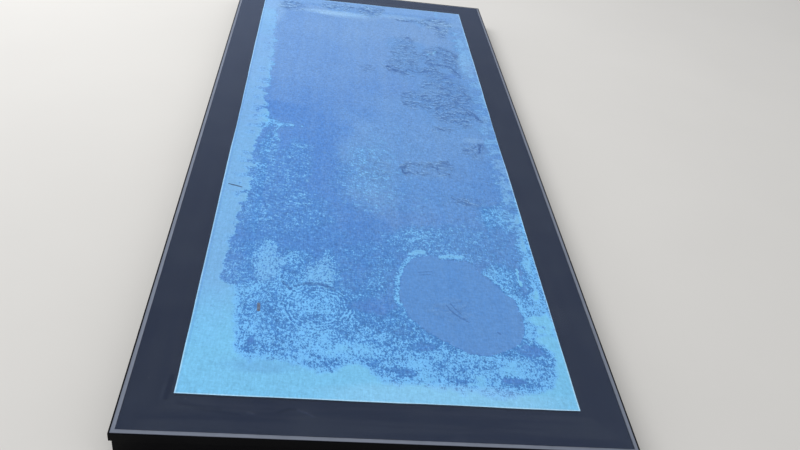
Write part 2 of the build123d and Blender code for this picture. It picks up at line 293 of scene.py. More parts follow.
def laid_sheet(x, y, top, bottom):
    """A closed sheet on a grid. The top's height is given at each crossing of the x and y lines. The
    underside is flat: one face right across between neighbouring y lines, whose outer corners stand
    under the top's edge, so that the wall closes the sheet."""
    nx, ny = len(x), len(y)
    grid_x, grid_y = np.meshgrid(x, y)
    upper = np.stack([grid_x, grid_y, top], -1).reshape(-1, 3)
    index = np.arange(nx * ny).reshape(ny, nx)
    rim = np.concatenate([index[0], index[1:, -1], index[-1, -2::-1], index[-2:0:-1, 0]])
    lower = upper[rim] * (1, 1, 0) + (0, 0, bottom)
    vertices = np.concatenate([upper, lower])
    tops = np.stack([index[:-1, :-1], index[:-1, 1:], index[1:, 1:], index[1:, :-1]], -1).reshape(-1, 4)
    ring = nx * ny + np.arange(len(rim))
    after = np.roll(ring, -1)
    walls = np.stack([np.roll(rim, -1), rim, ring, after], -1)
    right = ring[nx - 1 : nx - 1 + ny]
    left = np.concatenate([ring[:1], ring[2 * nx + ny - 3 :][::-1]])
    spans = np.stack([left[1:-2], left[2:-1], right[2:-1], right[1:-2]], -1)
    near = [left[1]] + [right[1]] + ring[:nx][::-1].tolist()
    far = [right[-2]] + [left[-2]] + ring[nx + ny - 2 : 2 * nx + ny - 2][::-1].tolist()
    faces = tops.tolist() + walls.tolist() + spans.tolist() + [near, far]
    return vertices, faces


def carried_round(half_x, half_y, inset, height, along):
    """A closed profile carried round the rectangle of the glass edge. At a share t from -1 to 1 of
    the near side, a point of the profile at inset a lies at x = t (half_x - a), y = -(half_y - a),
    and likewise on the other sides, so the corners are true mitres. inset and height hold one row
    for each step along all four sides, and along holds t and the side's number."""
    t, side = along
    across = np.where(side % 2 == 0, half_x, half_y)[:, None] - inset
    out = np.where(side % 2 == 0, half_y, half_x)[:, None] - inset
    run = t[:, None] * across
    x = np.choose(side[:, None], [run, out, -run, -out])
    y = np.choose(side[:, None], [-out, run, out, -run])
    steps, points = inset.shape
    vertices = np.stack([x, y, height], -1).reshape(-1, 3)
    index = np.arange(steps * points).reshape(steps, points)
    turned = np.roll(index, -1, 0)
    faces = np.stack([index, np.roll(index, -1, 1), np.roll(turned, -1, 1), turned], -1).reshape(-1, 4)
    return vertices, outward(vertices, faces)


def steps_round(half_x, half_y, spacing):
    """The steps along the four sides, about a spacing apart: the share t of the side and the side's
    number, each side starting at its own corner and ending before the next one's."""
    shares, sides = [], []
    for side, half in enumerate((half_x, half_y, half_x, half_y)):
        count = max(2, round(2 * half / spacing))
        shares.append(np.linspace(-1.0, 1.0, count, endpoint=False))
        sides.append(np.full(count, side))
    return np.concatenate(shares), np.concatenate(sides)


# Nodes


class Value:
    """What a node puts out. Arithmetic on it adds the node that works out the step."""

    def __init__(self, nodes, socket):
        self.nodes, self.socket = nodes, socket

    def __add__(self, other):
        return self.nodes.math("ADD", self, other)

    def __sub__(self, other):
        return self.nodes.math("SUBTRACT", self, other)

    def __rsub__(self, other):
        return self.nodes.math("SUBTRACT", other, self)

    def __mul__(self, other):
        return self.nodes.math("MULTIPLY", self, other)

    def __truediv__(self, other):
        return self.nodes.math("DIVIDE", self, other)

    def __rtruediv__(self, other):
        return self.nodes.math("DIVIDE", other, self)

    def __abs__(self):
        return self.nodes.math("ABSOLUTE", self)

    def at_least(self, other):
        """The greater of the two."""
        return self.nodes.math("MAXIMUM", self, other)

    def at_most(self, other):
        """The lesser of the two."""
        return self.nodes.math("MINIMUM", self, other)

    def clamped(self):
        """The same, held between 0 and 1."""
        return self.nodes.out("Clamp", {0: self})

    def rise(self, low, high, start=0.0, end=1.0):
        """A smooth step from start to end as the value goes from low to high."""
        inputs = {"Value": self, "From Min": low, "From Max": high, "To Min": start, "To Max": end}
        return self.nodes.out("MapRange", inputs, interpolation_type="SMOOTHSTEP")


class Nodes:
    """Adds nodes to a tree. An input may be a number, a colour or a Value."""

    def __init__(self, tree):
        self.tree = tree

    def add(self, kind, inputs=None, **options):
        """A node of a kind, with its options set and its inputs filled."""
        node = self.tree.nodes.new("ShaderNode" + kind)
        for name, value in options.items():
            setattr(node, name, value)
        for key, value in (inputs or {}).items():
            self.fill(node.inputs[key], value)
        return node

    def out(self, kind, inputs=None, output=0, **options):
        """One output of a new node."""
        return Value(self, self.add(kind, inputs, **options).outputs[output])

    def fill(self, socket, value):
        """Joins a Value to a socket, or sets the socket's own value."""
        if isinstance(value, Value):
            self.tree.links.new(value.socket, socket)
        elif hasattr(value, "__len__"):
            socket.default_value = (*value, 1.0)[: len(socket.default_value)]
        else:
            socket.default_value = value

    def math(self, operation, *values):
        """One step of arithmetic on numbers."""
        return self.out("Math", dict(enumerate(values)), operation=operation)

    def vector(self, operation, *values, output=0):
        """One step of arithmetic on vectors."""
        return self.out("VectorMath", dict(enumerate(values)), output, operation=operation)

    def scaled(self, vector, factor):
        """A vector or a colour times a number."""
        return self.out("VectorMath", {0: vector, "Scale": factor}, operation="SCALE")

    def distance(self, first, second):
        """The distance between two points."""
        return self.vector("DISTANCE", first, second, output="Value")

    def parts(self, vector):
        """The x, y and z of a vector."""
        return [Value(self, socket) for socket in self.add("SeparateXYZ", {0: vector}).outputs]

    def mix(self, factor, first, second):
        """A blend of two colours."""
        return self.out("Mix", {0: factor, 6: first, 7: second}, 2, data_type="RGBA")

    def blend(self, factor, first, second):
        """A blend of two numbers."""
        return self.out("Mix", {0: factor, 2: first, 3: second}, data_type="FLOAT")

    def stretched(self, place, scale, turn=0.0):
        """A place turned about the upright axis, then scaled along each axis."""
        turned = self.out("VectorRotate", {"Vector": place, "Angle": turn}, rotation_type="Z_AXIS")
        return self.out("Mapping", {"Vector": turned, "Scale": scale})

    def noise(self, place, scale, detail=2.0, roughness=0.55, distortion=0.0):
        """Soft random patches, scale of them to the metre, about 0.5."""
        inputs = {"Vector": place, "Scale": scale, "Detail": detail, "Roughness": roughness}
        return self.out("TexNoise", {**inputs, "Distortion": distortion})

    def field(self, name):
        """A number that the mesh holds at each vertex."""
        return self.out("Attribute", output="Fac", attribute_name=name, attribute_type="GEOMETRY")

    def group(self, tree, inputs):
        """What a node group puts out, by name, with its inputs filled."""
        node = self.add("Group", inputs, node_tree=tree)
        return {socket.name: Value(self, socket) for socket in node.outputs}


class Finish(Nodes):
    """A new material: its nodes, its surface shader and the place on the object, in metres."""

    def __init__(self, name):
        self.material = bpy.data.materials.new(name)
        self.material.use_nodes = True
        super().__init__(self.material.node_tree)
        self.tree.nodes.clear()
        self.surface = self.add("BsdfPrincipled")
        self.add("OutputMaterial", {0: Value(self, self.surface.outputs[0])})
        self.place = self.out("TexCoord", output="Object")

    def complete(self, colour, roughness, height=None, relief=MM, **constants):
        """Gives the shader its colour, its roughness, a bump whose height is in units of the relief,
        and constants, whose names have low lines for spaces. Returns the material."""
        self.fill(self.surface.inputs["Base Color"], colour)
        self.fill(self.surface.inputs["Roughness"], roughness)
        if height is not None:
            bump = self.out("Bump", {"Height": height, "Distance": relief, "Strength": 1.0})
            self.fill(self.surface.inputs["Normal"], bump)
        for name, value in constants.items():
            self.surface.inputs[name.replace("_", " ")].default_value = value
        return self.material


def shared_group(name, inputs, outputs, work_out):
    """The shader node group of a name, built when it is first asked for. Its sockets are given by
    name and kind, and a function works out the outputs from the inputs."""
    tree = bpy.data.node_groups.get(name)
    if tree:
        return tree
    tree = bpy.data.node_groups.new(name, "ShaderNodeTree")
    for in_out, sockets in (("INPUT", inputs), ("OUTPUT", outputs)):
        for label, kind in sockets.items():
            tree.interface.new_socket(name=label, in_out=in_out, socket_type="NodeSocket" + kind)
    nodes = Nodes(tree)
    given = {socket.name: Value(nodes, socket) for socket in tree.nodes.new("NodeGroupInput").outputs}
    result = tree.nodes.new("NodeGroupOutput").inputs
    for label, value in work_out(nodes, given).items():
        nodes.fill(result[label], value)
    return tree


def grime_over(nodes, given):
    """Dust gathers in soft patches, more where the face looks up, and a fine grain varies the
    finish's own colour."""
    patches = nodes.noise(given["Place"], 9.0, 4.0, 0.62)
    specks = nodes.noise(given["Place"], 420.0, 2.0, 0.6)
    fine = nodes.noise(given["Place"], 1.0 / given["Grain size"], 2.0, 0.5)
    settled = given["Facing up"].rise(0.2, 0.9) * 0.75 + 0.25
    cover = patches.rise(0.34, 0.72) * settled + specks.rise(0.56, 0.68) * 0.25
    cover = (cover * given["Dust"]).clamped()
    grained = nodes.scaled(given["Finish"], (fine - 0.5) * given["Grain"] + 1.0)
    rough = (fine - 0.5) * (given["Grain"] * 0.6) + given["Roughness"] + cover * 0.35
    return {
        "Colour": nodes.mix(cover, grained, given["Dust colour"]),
        "Roughness": rough.clamped(),
        "Height": cover * 0.02 + fine * (given["Grain"] * 0.3),
    }


def grime_group():
    """Dust and wear over a finish: its colour, its roughness and a bump height."""
    inputs = {
        "Place": "Vector", "Finish": "Color", "Dust colour": "Color", "Dust": "Float",
        "Facing up": "Float", "Grain size": "Float", "Grain": "Float", "Roughness": "Float",
    }
    outputs = {"Colour": "Color", "Roughness": "Float", "Height": "Float"}
    return shared_group("Dust and grain", inputs, outputs, grime_over)


def stroke_mask(nodes, given):
    """1 within a ragged half width of the line between two points, round their ends too, and 0
    outside: the distance is measured from the nearest point of the line."""
    run = nodes.vector("SUBTRACT", given["End"], given["Start"])
    offset = nodes.vector("SUBTRACT", given["Place"], given["Start"])
    covered, whole = (nodes.vector("DOT_PRODUCT", vector, run, output="Value") for vector in (offset, run))
    away = nodes.distance(offset, nodes.scaled(run, (covered / whole).clamped()))
    width = given["Half width"] * (given["Ragged"] * 1.4 + 0.3)
    return {"Mark": (away / width).rise(0.75, 1.15, 1.0, 0.0)}


def stroke(nodes, place, height, ragged, start, end, half):
    """A mark drawn at a height between two points of the plan, broken up by a ragged value."""
    inputs = {"Place": "Vector", "Start": "Vector", "End": "Vector", "Half width": "Float", "Ragged": "Float"}
    group = shared_group("Stroke", inputs, {"Mark": "Float"}, stroke_mask)
    start, end = (*start, height), (*end, height)
    values = {"Place": place, "Start": start, "End": end, "Half width": half, "Ragged": ragged}
    return nodes.group(group, values)["Mark"]


# Materials of the film


def ring_arcs(nodes, medium):
    """The ring mark's swing about 0: a sine of the distance from its centre, made wavy, held between
    two radii, strongest at the outer one and broken up by patches."""
    away = nodes.distance(nodes.stretched(nodes.place, (1.0, 1.0, 0.0)), (*RING_CENTRE, 0.0))
    wavy = nodes.noise(nodes.place, 34.0, 2.0) * 0.018 + away
    arcs = nodes.math("SINE", wavy * (2 * math.pi / RING_SPACING))
    band = away.rise(*RING_START) * away.rise(*RING_END, 1.0, 0.0)
    return arcs * (band * (medium * 4.2 + 0.50)) * away.rise(0.062, 0.080, 0.9, 1.45)


def film_creases(nodes, spacing, fine):
    """Painted shade in short folds that lie across the film, each with a painted highlight on a lip on its
    far side, painted shade in a faint net of finer ones and along ragged long folds on the drawn lines.
    Gives how creased the place is, how dark the painted shade in the folds is there and how strong the
    painted highlights on their lips are."""
    place, amount = nodes.place, nodes.field("creased").rise(0.05, 0.62)
    folds = []
    # The fold at no shift gives the painted shade; the copy moved by LIP_SHIFT gives the painted highlight on
    # its lip
    for shift in (0.0, LIP_SHIFT):
        moved = nodes.out("Mapping", {"Vector": place, "Location": (0.0, shift, 0.0)})
        swells = [
            nodes.noise(nodes.stretched(moved, (0.55, 1.0, 1.0), turn), 0.85 / spacing, 3.2, 0.70, 0.8)
            for turn in (0.25, -0.35)
        ]
        folds.append(swells[0].at_least(swells[1]).rise(0.54, 0.60))
    threads = nodes.noise(nodes.stretched(place, (0.8, 0.7, 1.0), 0.12), 0.9 / spacing, 2.0, 0.6, 0.7)
    net = abs(threads - 0.5).rise(0.012, 0.040, 0.55, 0.0)
    seam = (fine * 1.3 + nodes.field("seamed")).rise(0.30, 0.62)
    broken = nodes.noise(place, 42.0, 2.0, 0.6).rise(0.40, 0.56, 0.10, 1.0)
    # dark is the painted shade in the folds, the net and the drawn fold lines
    dark = ((folds[0] * 0.78).at_least(net) * amount).at_least(seam * broken)
    return amount, dark, folds[1] * amount * (1.0 - dark)


def film_strokes(nodes, ragged):
    """The dark strokes on the film, as one mask."""
    marks = 0.0
    for row in FILM_STROKES:
        marks = stroke(nodes, nodes.place, FILM_HIGH.z, ragged, *row).at_least(marks)
    return marks


def darkened_places(nodes, x, y, mottle):
    """Where the film is darkened to deep blue: in a narrow strip just inside the left cut edge, on the step
    of the glass, and in a soft streak near the film's near end."""
    left_gap = x + FILM_HIGH.x
    strip = left_gap.rise(2.2 * MM, 4.0 * MM) * left_gap.rise(6.5 * MM, 10.0 * MM, 0.30, 0.0)
    strip = strip * y.rise(-1.16, -0.95, 0.35, 1.0)
    streak_x, streak_y, half_x, half_y = NEAR_STREAK
    spread = nodes.stretched(nodes.place, (1 / half_x, 1 / half_y, 0.0))
    away = nodes.distance(spread, (streak_x / half_x, streak_y / half_y, 0.0))
    return strip.at_least((mottle * 1.5 + away).rise(0.4, 1.3, 0.23, 0.0))


def film_material(film):
    """The blue film. Pale flecks show where a fine noise plus the field lifted passes a level, so the
    field sets how much of each place is pale. The clinging blue drifts to faded and greyed by two more
    fields, with faint lines along the roll's length, and in speckled places a painted shadow darkens it
    between the flecks. Painted shade in the creases with painted highlights on their lips, strokes, dirt,
    a painted highlight along the cut edge and a darker strip and streak lie over them in turn, and a
    field whitens the whole, by haze and in some places by a painted highlight."""
    nodes = Finish("Blue protective film")
    place, lifted, dulled = nodes.place, nodes.field("lifted"), nodes.field("dulled")
    x, y, _ = nodes.parts(place)

    def patches(stretch, turn, scale, *character):
        return nodes.noise(nodes.stretched(place, stretch, turn), scale / film.fleck, *character)

    crossed = [patches((1.0, 0.5, 1.0), turn, 1.0, 2.4, 0.66, 0.25) for turn in (0.5, -0.6)]
    ragged = crossed[0].at_least(crossed[1]) * 1.15 - 0.135
    fine = ragged - 0.5
    threads = patches((1.0, 0.28, 1.0), 0.0, 1.0, 1.6, 0.6) + patches((0.30, 0.75, 1.0), 0.1, 1.0, 1.6, 0.6)
    weave = threads * 0.7 - 0.7
    medium = nodes.noise(place, 0.28 / film.fleck, 2.0, 0.6) - 0.5
    mottle = patches((1.0, 0.6, 1.0), 0.0, 0.55, 3.0, 0.7) - 0.5
    grain = nodes.noise(place, 520.0, 2.0, 0.6)
    lines = nodes.noise(nodes.stretched(place, (190.0, 3.0, 1.0)), 1.0, 3.0, 0.6)
    wide_lines = nodes.noise(nodes.stretched(place, (24.0, 0.7, 1.0)), 1.0, 2.0, 0.5)

    # Towards the far end the flecks run together into short worm-like marks that lie across
    far_off = y.rise(-0.75, -0.35)
    coarse = patches((0.55, 1.0, 1.0), 0.3, 0.46, 2.0, 0.6, 0.8) - 0.5
    level = lifted + fine * (8.0 - far_off * 3.0) + coarse * (far_off * 7.0)
    level = level + medium * 1.2 + weave * 2.6 + ring_arcs(nodes, medium)
    cover = level.rise(-0.26, 0.30).at_least(level.rise(-2.2, 0.1, 0.0, 0.20))

    streaks = mottle * 1.1 + lines * 0.30 + wide_lines * 0.40 - 0.35
    blue = nodes.mix((nodes.field("faded") + streaks).clamped(), film.deep, film.faded)
    blue = nodes.mix(nodes.field("greyed"), blue, film.greyed)
    pale = nodes.mix((mottle * 0.5 + dulled).clamped(), film.pale, film.pale_dull)
    pale = nodes.scaled(pale, mottle * 0.50 + lines * 0.16 + 0.92)
    # In speckled places, neither all let go nor all clinging, light and dark stand further apart: the
    # clinging blue between the flecks darkens to a painted shadow
    speckled = abs(lifted).rise(0.3, 2.0, 1.0, 0.0) * (1.0 - dulled) * 0.8
    blue = nodes.mix(speckled, blue, film.fleck_shade)
    pale = nodes.mix(speckled, pale, film.fleck_light)
    skin = nodes.mix(cover, blue, pale)

    creased, dark, lip_highlight = film_creases(nodes, film.fold, fine)
    # Painted shade: creased places are a little darker; then painted highlights on the folds' lips, stronger
    # towards the far end, and painted shade in the folds
    skin = nodes.scaled(skin, 1.0 - creased * 0.05)
    skin = nodes.mix(lip_highlight * y.rise(0.88, 0.98, 0.26, 0.62), skin, film.glint_and_haze)
    skin = nodes.mix(dark * 0.82, skin, film.crease_shade_and_marks)
    marks = film_strokes(nodes, ragged)
    skin = nodes.mix(marks * 0.52, skin, film.crease_shade_and_marks)
    for *row, dirt in DIRT_STROKES:
        skin = nodes.mix(stroke(nodes, place, FILM_HIGH.z, ragged, *row) * 0.8, skin, dirt)

    # Painted highlight along the cut edge, where the lifted edge catches the light, stronger at the near end
    edge_gap = (FILM_HIGH.x - abs(x)).at_most(FILM_HIGH.y - abs(y))
    edge = (fine * (3.0 * MM) + edge_gap).rise(0.8 * MM, 3.4 * MM, 1.0, 0.0)
    skin = nodes.mix(edge * y.rise(-1.19, -1.0, 0.85, 0.5), skin, film.glint_and_haze)
    skin = nodes.mix(darkened_places(nodes, x, y, mottle), skin, film.deep)
    # Whitening: haze on the film in most places, and a painted highlight in some
    skin = nodes.mix(nodes.field("hazed"), skin, film.glint_and_haze)
    weave_depth = (1.0 - cover * 0.55) * lifted.rise(-2.95, -2.65, 0.55, 1.0)
    skin = nodes.scaled(skin, weave * weave_depth + grain * 0.24 + 0.88)
    rough = cover * 0.10 + grain * 0.08 + dark * 0.15 + 0.27
    height = cover * 0.055 + grain * 0.02 + lines * 0.12 - dark * 0.30 + marks * 0.12
    return nodes.complete(skin, rough, height, IOR=1.48)


# Materials of the glass, the seal and the frame


def clear_glass(name, tint, roughness=0.015):
    """Clean clear glass with a trace of haze that comes and goes."""
    nodes = Finish(name)
    haze = nodes.noise(nodes.place, 6.0, 3.0)
    colour = nodes.mix(haze * 0.08, tint, (0.8, 0.83, 0.84))
    return nodes.complete(colour, haze * 0.02 + roughness, IOR=1.5, Transmission_Weight=1.0)


def border_marks(nodes):
    """The drips and wiped places on the border: above 0 where it is lighter, below 0 where it is
    darker. They are strokes seen from above, so the height of the place doesn't count."""
    flat = nodes.stretched(nodes.place, (1.0, 1.0, 0.0))
    ragged = nodes.noise(flat, 70.0, 2.0)
    marks = 0.0
    for *row, amount in BORDER_STROKES:
        marks = stroke(nodes, flat, 0.0, ragged, *row) * amount + marks
    return marks


def outer_glass(glass):
    """The weathered outer pane: clear glass whose surface holds a little dust, wiped into long soft
    smears that run with each side of the border and turn at the mitres, with dried drips and specks."""
    nodes = Finish("Outer pane glass")
    place = nodes.place
    x, y, _ = nodes.parts(place)
    mitre = (PANE_HIGH.x - abs(x)) - (PANE_HIGH.y - abs(y))
    on_end = (nodes.noise(place, 5.0, 1.0) * 0.03 + mitre).rise(0.0, 0.03)
    wiped_along = nodes.noise(nodes.stretched(place, (42.0, 2.6, 1.0)), 1.0, 4.0, 0.55, 0.5)
    wiped_across = nodes.noise(nodes.stretched(place, (2.8, 40.0, 1.0)), 1.0, 4.0, 0.55, 0.5)
    wiped = nodes.blend(on_end, wiped_along, wiped_across).rise(0.36, 0.66) - 0.5
    patches = nodes.noise(place, 7.0, 3.0, 0.55, 0.4).rise(0.35, 0.7, 0.30, 0.70)
    specks = nodes.noise(place, 260.0, 1.0, 0.5).rise(0.74, 0.80) * 0.8
    smear = (wiped * (on_end * 0.42 + 0.20) + patches + specks).clamped()
    smear = (smear + border_marks(nodes)).clamped()
    colour = nodes.mix(smear, glass.wiped, glass.dusty)
    return nodes.complete(colour, smear * 0.09 + 0.03, IOR=1.5, Transmission_Weight=0.975)


def enamel_material(glass):
    """Black enamel fired on glass: even, with the faint cloud of a screen-printed coat. What has
    dried on the glass above it shows against the black."""
    nodes = Finish("Black enamel")
    clouded = nodes.noise(nodes.place, 14.0, 3.0) * 0.5 + 0.75
    soiled = border_marks(nodes) * 1.3 + 1.0
    rough = nodes.noise(nodes.place, 900.0) * 0.1 + 0.3
    return nodes.complete(nodes.scaled(glass.enamel, clouded * soiled), rough)


def sealant_material(settings):
    """Grey weathering silicone: dust lies in soft patches in its hollow, and it is darker with grime
    where it meets the lip and the glass."""
    nodes = Finish("Grey weather sealant")
    x, y, _ = nodes.parts(nodes.place)
    out = (abs(x) - PANE_HIGH.x).at_least(abs(y) - PANE_HIGH.y)
    patches = nodes.noise(nodes.place, 26.0, 4.0, 0.6)
    fine = nodes.noise(nodes.place, 380.0, 2.0, 0.6)
    edge = patches * (2.2 * MM) + out
    grime = (edge.rise(8.2 * MM, 10.0 * MM) + edge.rise(1.0 * MM, 2.2 * MM, 0.5, 0.0)).clamped()
    tone = nodes.scaled(settings.sealant, patches * 0.42 + fine * 0.14 + 0.72)
    tone = nodes.mix(grime * 0.72, tone, (0.045, 0.045, 0.050))
    return nodes.complete(tone, fine * 0.2 + 0.48, patches * 0.25 + fine * 0.03)


# Share of dust, size and depth of the grain, roughness, and height of the grain in millimetres
COATS = {
    "Black powder coat": (0.014, 1.6 * MM, 0.30, 0.46, 0.35),
    "White powder coat": (0.05, 1.6 * MM, 0.05, 0.38, 0.35),
    "Black polyamide": (0.12, 0.6 * MM, 0.55, 0.58, 0.5),
    "Grey polyamide": (0.06, 0.8 * MM, 0.25, 0.55, 0.4),
    "Butyl": (0.04, 3.0 * MM, 0.5, 0.30, 1.2),
    "Black silicone": (0.10, 2.0 * MM, 0.4, 0.55, 0.8),
    "Structural silicone": (0.06, 2.5 * MM, 0.4, 0.50, 0.8),
    "Moulded blocks": (0.05, 1.2 * MM, 0.2, 0.45, 0.3),
}


def coated(name, tone, dust_colour, specular=0.5):
    """A plain finish with grain and settled dust, as the table of coats says."""
    dust, grain_size, grain, roughness, relief = COATS[name]
    nodes = Finish(name)
    facing_up = nodes.parts(nodes.out("NewGeometry", output="Normal"))[2]
    inputs = {
        "Place": nodes.place, "Finish": tone, "Dust colour": dust_colour, "Dust": dust,
        "Facing up": facing_up, "Grain size": grain_size, "Grain": grain, "Roughness": roughness,
    }
    grime = nodes.group(grime_group(), inputs)
    return nodes.complete(
        grime["Colour"], grime["Roughness"], grime["Height"], MM * relief, Specular_IOR_Level=specular
    )


def drawn_metal(name, tone, along, roughness=0.34):
    """Mill aluminium with the fine lines of drawing along one axis, or with no direction."""
    nodes = Finish(name)
    scale = {"x": (6.0, 700.0, 700.0), "y": (700.0, 6.0, 700.0), "all": (160.0, 160.0, 160.0)}[along]
    lines = nodes.noise(nodes.stretched(nodes.place, scale), 1.0, 3.0, 0.6)
    clouds = nodes.noise(nodes.place, 22.0, 3.0, 0.6)
    colour = nodes.scaled(tone, lines * 0.16 + clouds * 0.22 + 0.80)
    rough = clouds * 0.16 + lines * 0.12 + (roughness - 0.12)
    return nodes.complete(colour, rough, lines * 0.012, Metallic=1.0)


def cellular(name, tone, cell, relief=0.3, roughness=0.8):
    """Closed-cell foam or loose beads: rounded cells of a size, with painted shade between them."""
    nodes = Finish(name)
    cells = nodes.out("TexVoronoi", {"Vector": nodes.place, "Scale": 1.0 / cell}, "Distance")
    colour = nodes.scaled(tone, cells.rise(0.15, 0.75, 1.08, 0.62))
    rough = nodes.noise(nodes.place, 60.0) * 0.2 + (roughness - 0.1)
    return nodes.complete(colour, rough, (1.0 - cells) * relief)


def dress(material, *names):
    """Gives CAD nodes a material. A name that ends in an underscore stands for every node that
    starts so."""
    for name in names:
        chosen = [n for n in frame["nodes"] if n == name or (name.endswith("_") and n.startswith(name))]
        if not chosen:
            raise RuntimeError(f"no node is named {name}")
        for node in chosen:
            for slot in frame["nodes"][node].material_slots:
                slot.material = material


# The film's marks, by their place on it


# The ring mark: its centre, the distance between its arcs, and the radii over which it starts and ends
RING_CENTRE = (-0.150, -0.902)
RING_SPACING = 0.0105
RING_START, RING_END = (0.030, 0.062), (0.084, 0.094)
# How far the painted highlight on a fold's lip lies behind the fold's painted shade
LIP_SHIFT = -0.007
# Centre x and y, half width and half height of the darker streak
NEAR_STREAK = (-0.270, -1.110, 0.095, 0.024)
# Start, end and half width: the dark arc over the ring, and scrapes in the smooth patch and beside it
FILM_STROKES = (
    ((-0.214, -0.829), (-0.190, -0.817), 0.0036),
    ((-0.190, -0.817), (-0.150, -0.814), 0.0050),
    ((-0.150, -0.814), (-0.112, -0.834), 0.0058),
    ((-0.246, -0.814), (-0.224, -0.842), 0.0042),
    ((0.176, -0.868), (0.184, -0.886), 0.0020),
    ((0.184, -0.886), (0.200, -0.905), 0.0028),
    ((0.200, -0.905), (0.218, -0.916), 0.0022),
    ((0.187, -0.861), (0.197, -0.880), 0.0016),
    ((0.197, -0.880), (0.210, -0.897), 0.0020),
    ((0.204, -0.912), (0.228, -0.927), 0.0016),
    ((0.112, -0.741), (0.150, -0.735), 0.0016),
    ((0.120, -0.751), (0.146, -0.748), 0.0014),
    ((0.298, -0.958), (0.302, -0.963), 0.0028),
)
# Start, end, half width and colour
DIRT_STROKES = (
    ((-0.432, -0.384), (-0.394, -0.396), 0.0030, (0.030, 0.045, 0.080)),
    ((-0.298, -0.903), (-0.297, -0.926), 0.0042, (0.130, 0.120, 0.120)),
)
# Start, end, half width, and how much lighter or darker the border is there
BORDER_STROKES = (
    ((-0.290, -1.243), (-0.278, -1.246), 0.0040, 0.70),
    ((-0.226, -1.238), (-0.206, -1.228), 0.0036, -0.60),
    ((-0.206, -1.228), (-0.190, -1.229), 0.0028, -0.45),
    ((-0.186, -1.230), (-0.168, -1.236), 0.0034, 0.80),
    ((-0.168, -1.236), (-0.152, -1.246), 0.0028, 0.90),
    ((-0.440, -1.224), (-0.350, -1.236), 0.0050, -0.30),
    ((-0.400, -1.238), (-0.310, -1.249), 0.0040, -0.25),
    ((-0.462, -1.150), (-0.465, -1.214), 0.0055, -0.60),
    ((-0.474, -1.175), (-0.476, -1.215), 0.0035, 0.35),
    ((0.532, -0.482), (0.530, -0.500), 0.0030, 0.90),
)
# Where the bands along the left, near and right edges end, from near to far or left to right
LEFT_BAND = (
    (-1.20, -0.324), (-1.05, -0.324), (-0.95, -0.338), (-0.84, -0.358), (-0.82, -0.402), (-0.70, -0.397),
    (-0.50, -0.385), (-0.30, -0.372), (-0.03, -0.370), (0.00, -0.352), (0.05, -0.357), (0.20, -0.373),
    (0.35, -0.365), (0.55, -0.371), (0.75, -0.377), (0.90, -0.391), (1.02, -0.390), (1.10, -0.376),
    (1.20, -0.372),
)
NEAR_BAND = (
    (-0.45, -1.070), (-0.33, -1.080), (-0.25, -1.072), (-0.20, -1.082), (-0.15, -1.104), (-0.10, -1.098),
    (-0.06, -1.066), (-0.02, -1.110), (0.00, -1.130), (0.10, -1.136), (0.18, -1.148), (0.28, -1.160),
    (0.35, -1.150), (0.40, -1.120), (0.45, -1.050),
)
RIGHT_BAND = (
    (-1.20, 0.418), (-1.02, 0.412), (-0.98, 0.384), (-0.86, 0.384), (-0.83, 0.402), (-0.78, 0.413),
    (-0.66, 0.411), (-0.58, 0.420), (-0.50, 0.426), (-0.42, 0.404), (-0.20, 0.415), (0.00, 0.408),
    (0.30, 0.410), (0.60, 0.402), (0.90, 0.395), (1.20, 0.390),
)
# Beyond this line, along the right edge, the film is still fresh
FRESH_STRIP = (
    (-0.94, 0.456), (-0.87, 0.436), (-0.80, 0.432), (-0.70, 0.431), (-0.55, 0.438), (-0.38, 0.442),
    (-0.26, 0.456),
)
# Outline of the smooth patch
SMOOTH_PATCH = (
    (0.055, -0.860), (0.058, -0.800), (0.070, -0.730), (0.098, -0.684), (0.150, -0.665), (0.200, -0.680),
    (0.250, -0.682), (0.290, -0.728), (0.330, -0.790), (0.362, -0.832), (0.375, -0.900), (0.368, -0.960),
    (0.345, -1.000), (0.310, -1.022), (0.260, -1.044), (0.210, -1.038), (0.160, -1.000), (0.110, -0.960),
    (0.074, -0.918),
)
# Shares of a place that is pale: in a splash, in the smooth patch and in the fresh strip
SPLASH_SHARE, SMOOTH_SHARE, FRESH_SHARE = 0.73, 0.006, 0.62
# Outlines of the pale splashes
PALE_SPLASHES = (
    (
        (-0.290, -0.655), (-0.276, -0.700), (-0.262, -0.745), (-0.266, -0.790), (-0.285, -0.815),
        (-0.305, -0.800), (-0.330, -0.768), (-0.318, -0.735), (-0.303, -0.700),
    ),
    (
        (-0.132, -0.688), (-0.120, -0.735), (-0.114, -0.790), (-0.126, -0.822), (-0.150, -0.815),
        (-0.192, -0.792), (-0.176, -0.760), (-0.150, -0.730),
    ),
    (
        (-0.400, 0.060), (-0.362, 0.052), (-0.346, 0.028), (-0.322, 0.014), (-0.288, 0.003),
        (-0.300, -0.006), (-0.330, 0.000), (-0.350, -0.012), (-0.372, -0.030), (-0.400, -0.035),
    ),
)
# Half width, share that is pale, and the points of pale lines
PALE_LINES = (
    (0.0046, 0.97, ((0.390, -0.703), (0.389, -0.738), (0.393, -0.771))),
    (0.0080, 0.95, ((0.080, 1.140), (0.380, 1.140))),
    (0.0060, 0.93, ((0.296, 0.737), (0.286, 0.715), (0.260, 0.699))),
    (0.0050, 0.80, ((-0.306, -0.006), (-0.322, -0.050), (-0.314, -0.085), (-0.300, -0.110))),
    (0.0120, 0.90, ((0.100, -0.664), (0.118, -0.650), (0.130, -0.655))),
    (0.0090, 0.90, ((0.180, -0.668), (0.212, -0.661), (0.240, -0.665))),
    (
        0.0080, 0.76,
        (
            (0.296, -0.728), (0.334, -0.772), (0.366, -0.825),
            (0.381, -0.880), (0.384, -0.940), (0.376, -0.990),
        ),
    ),
)
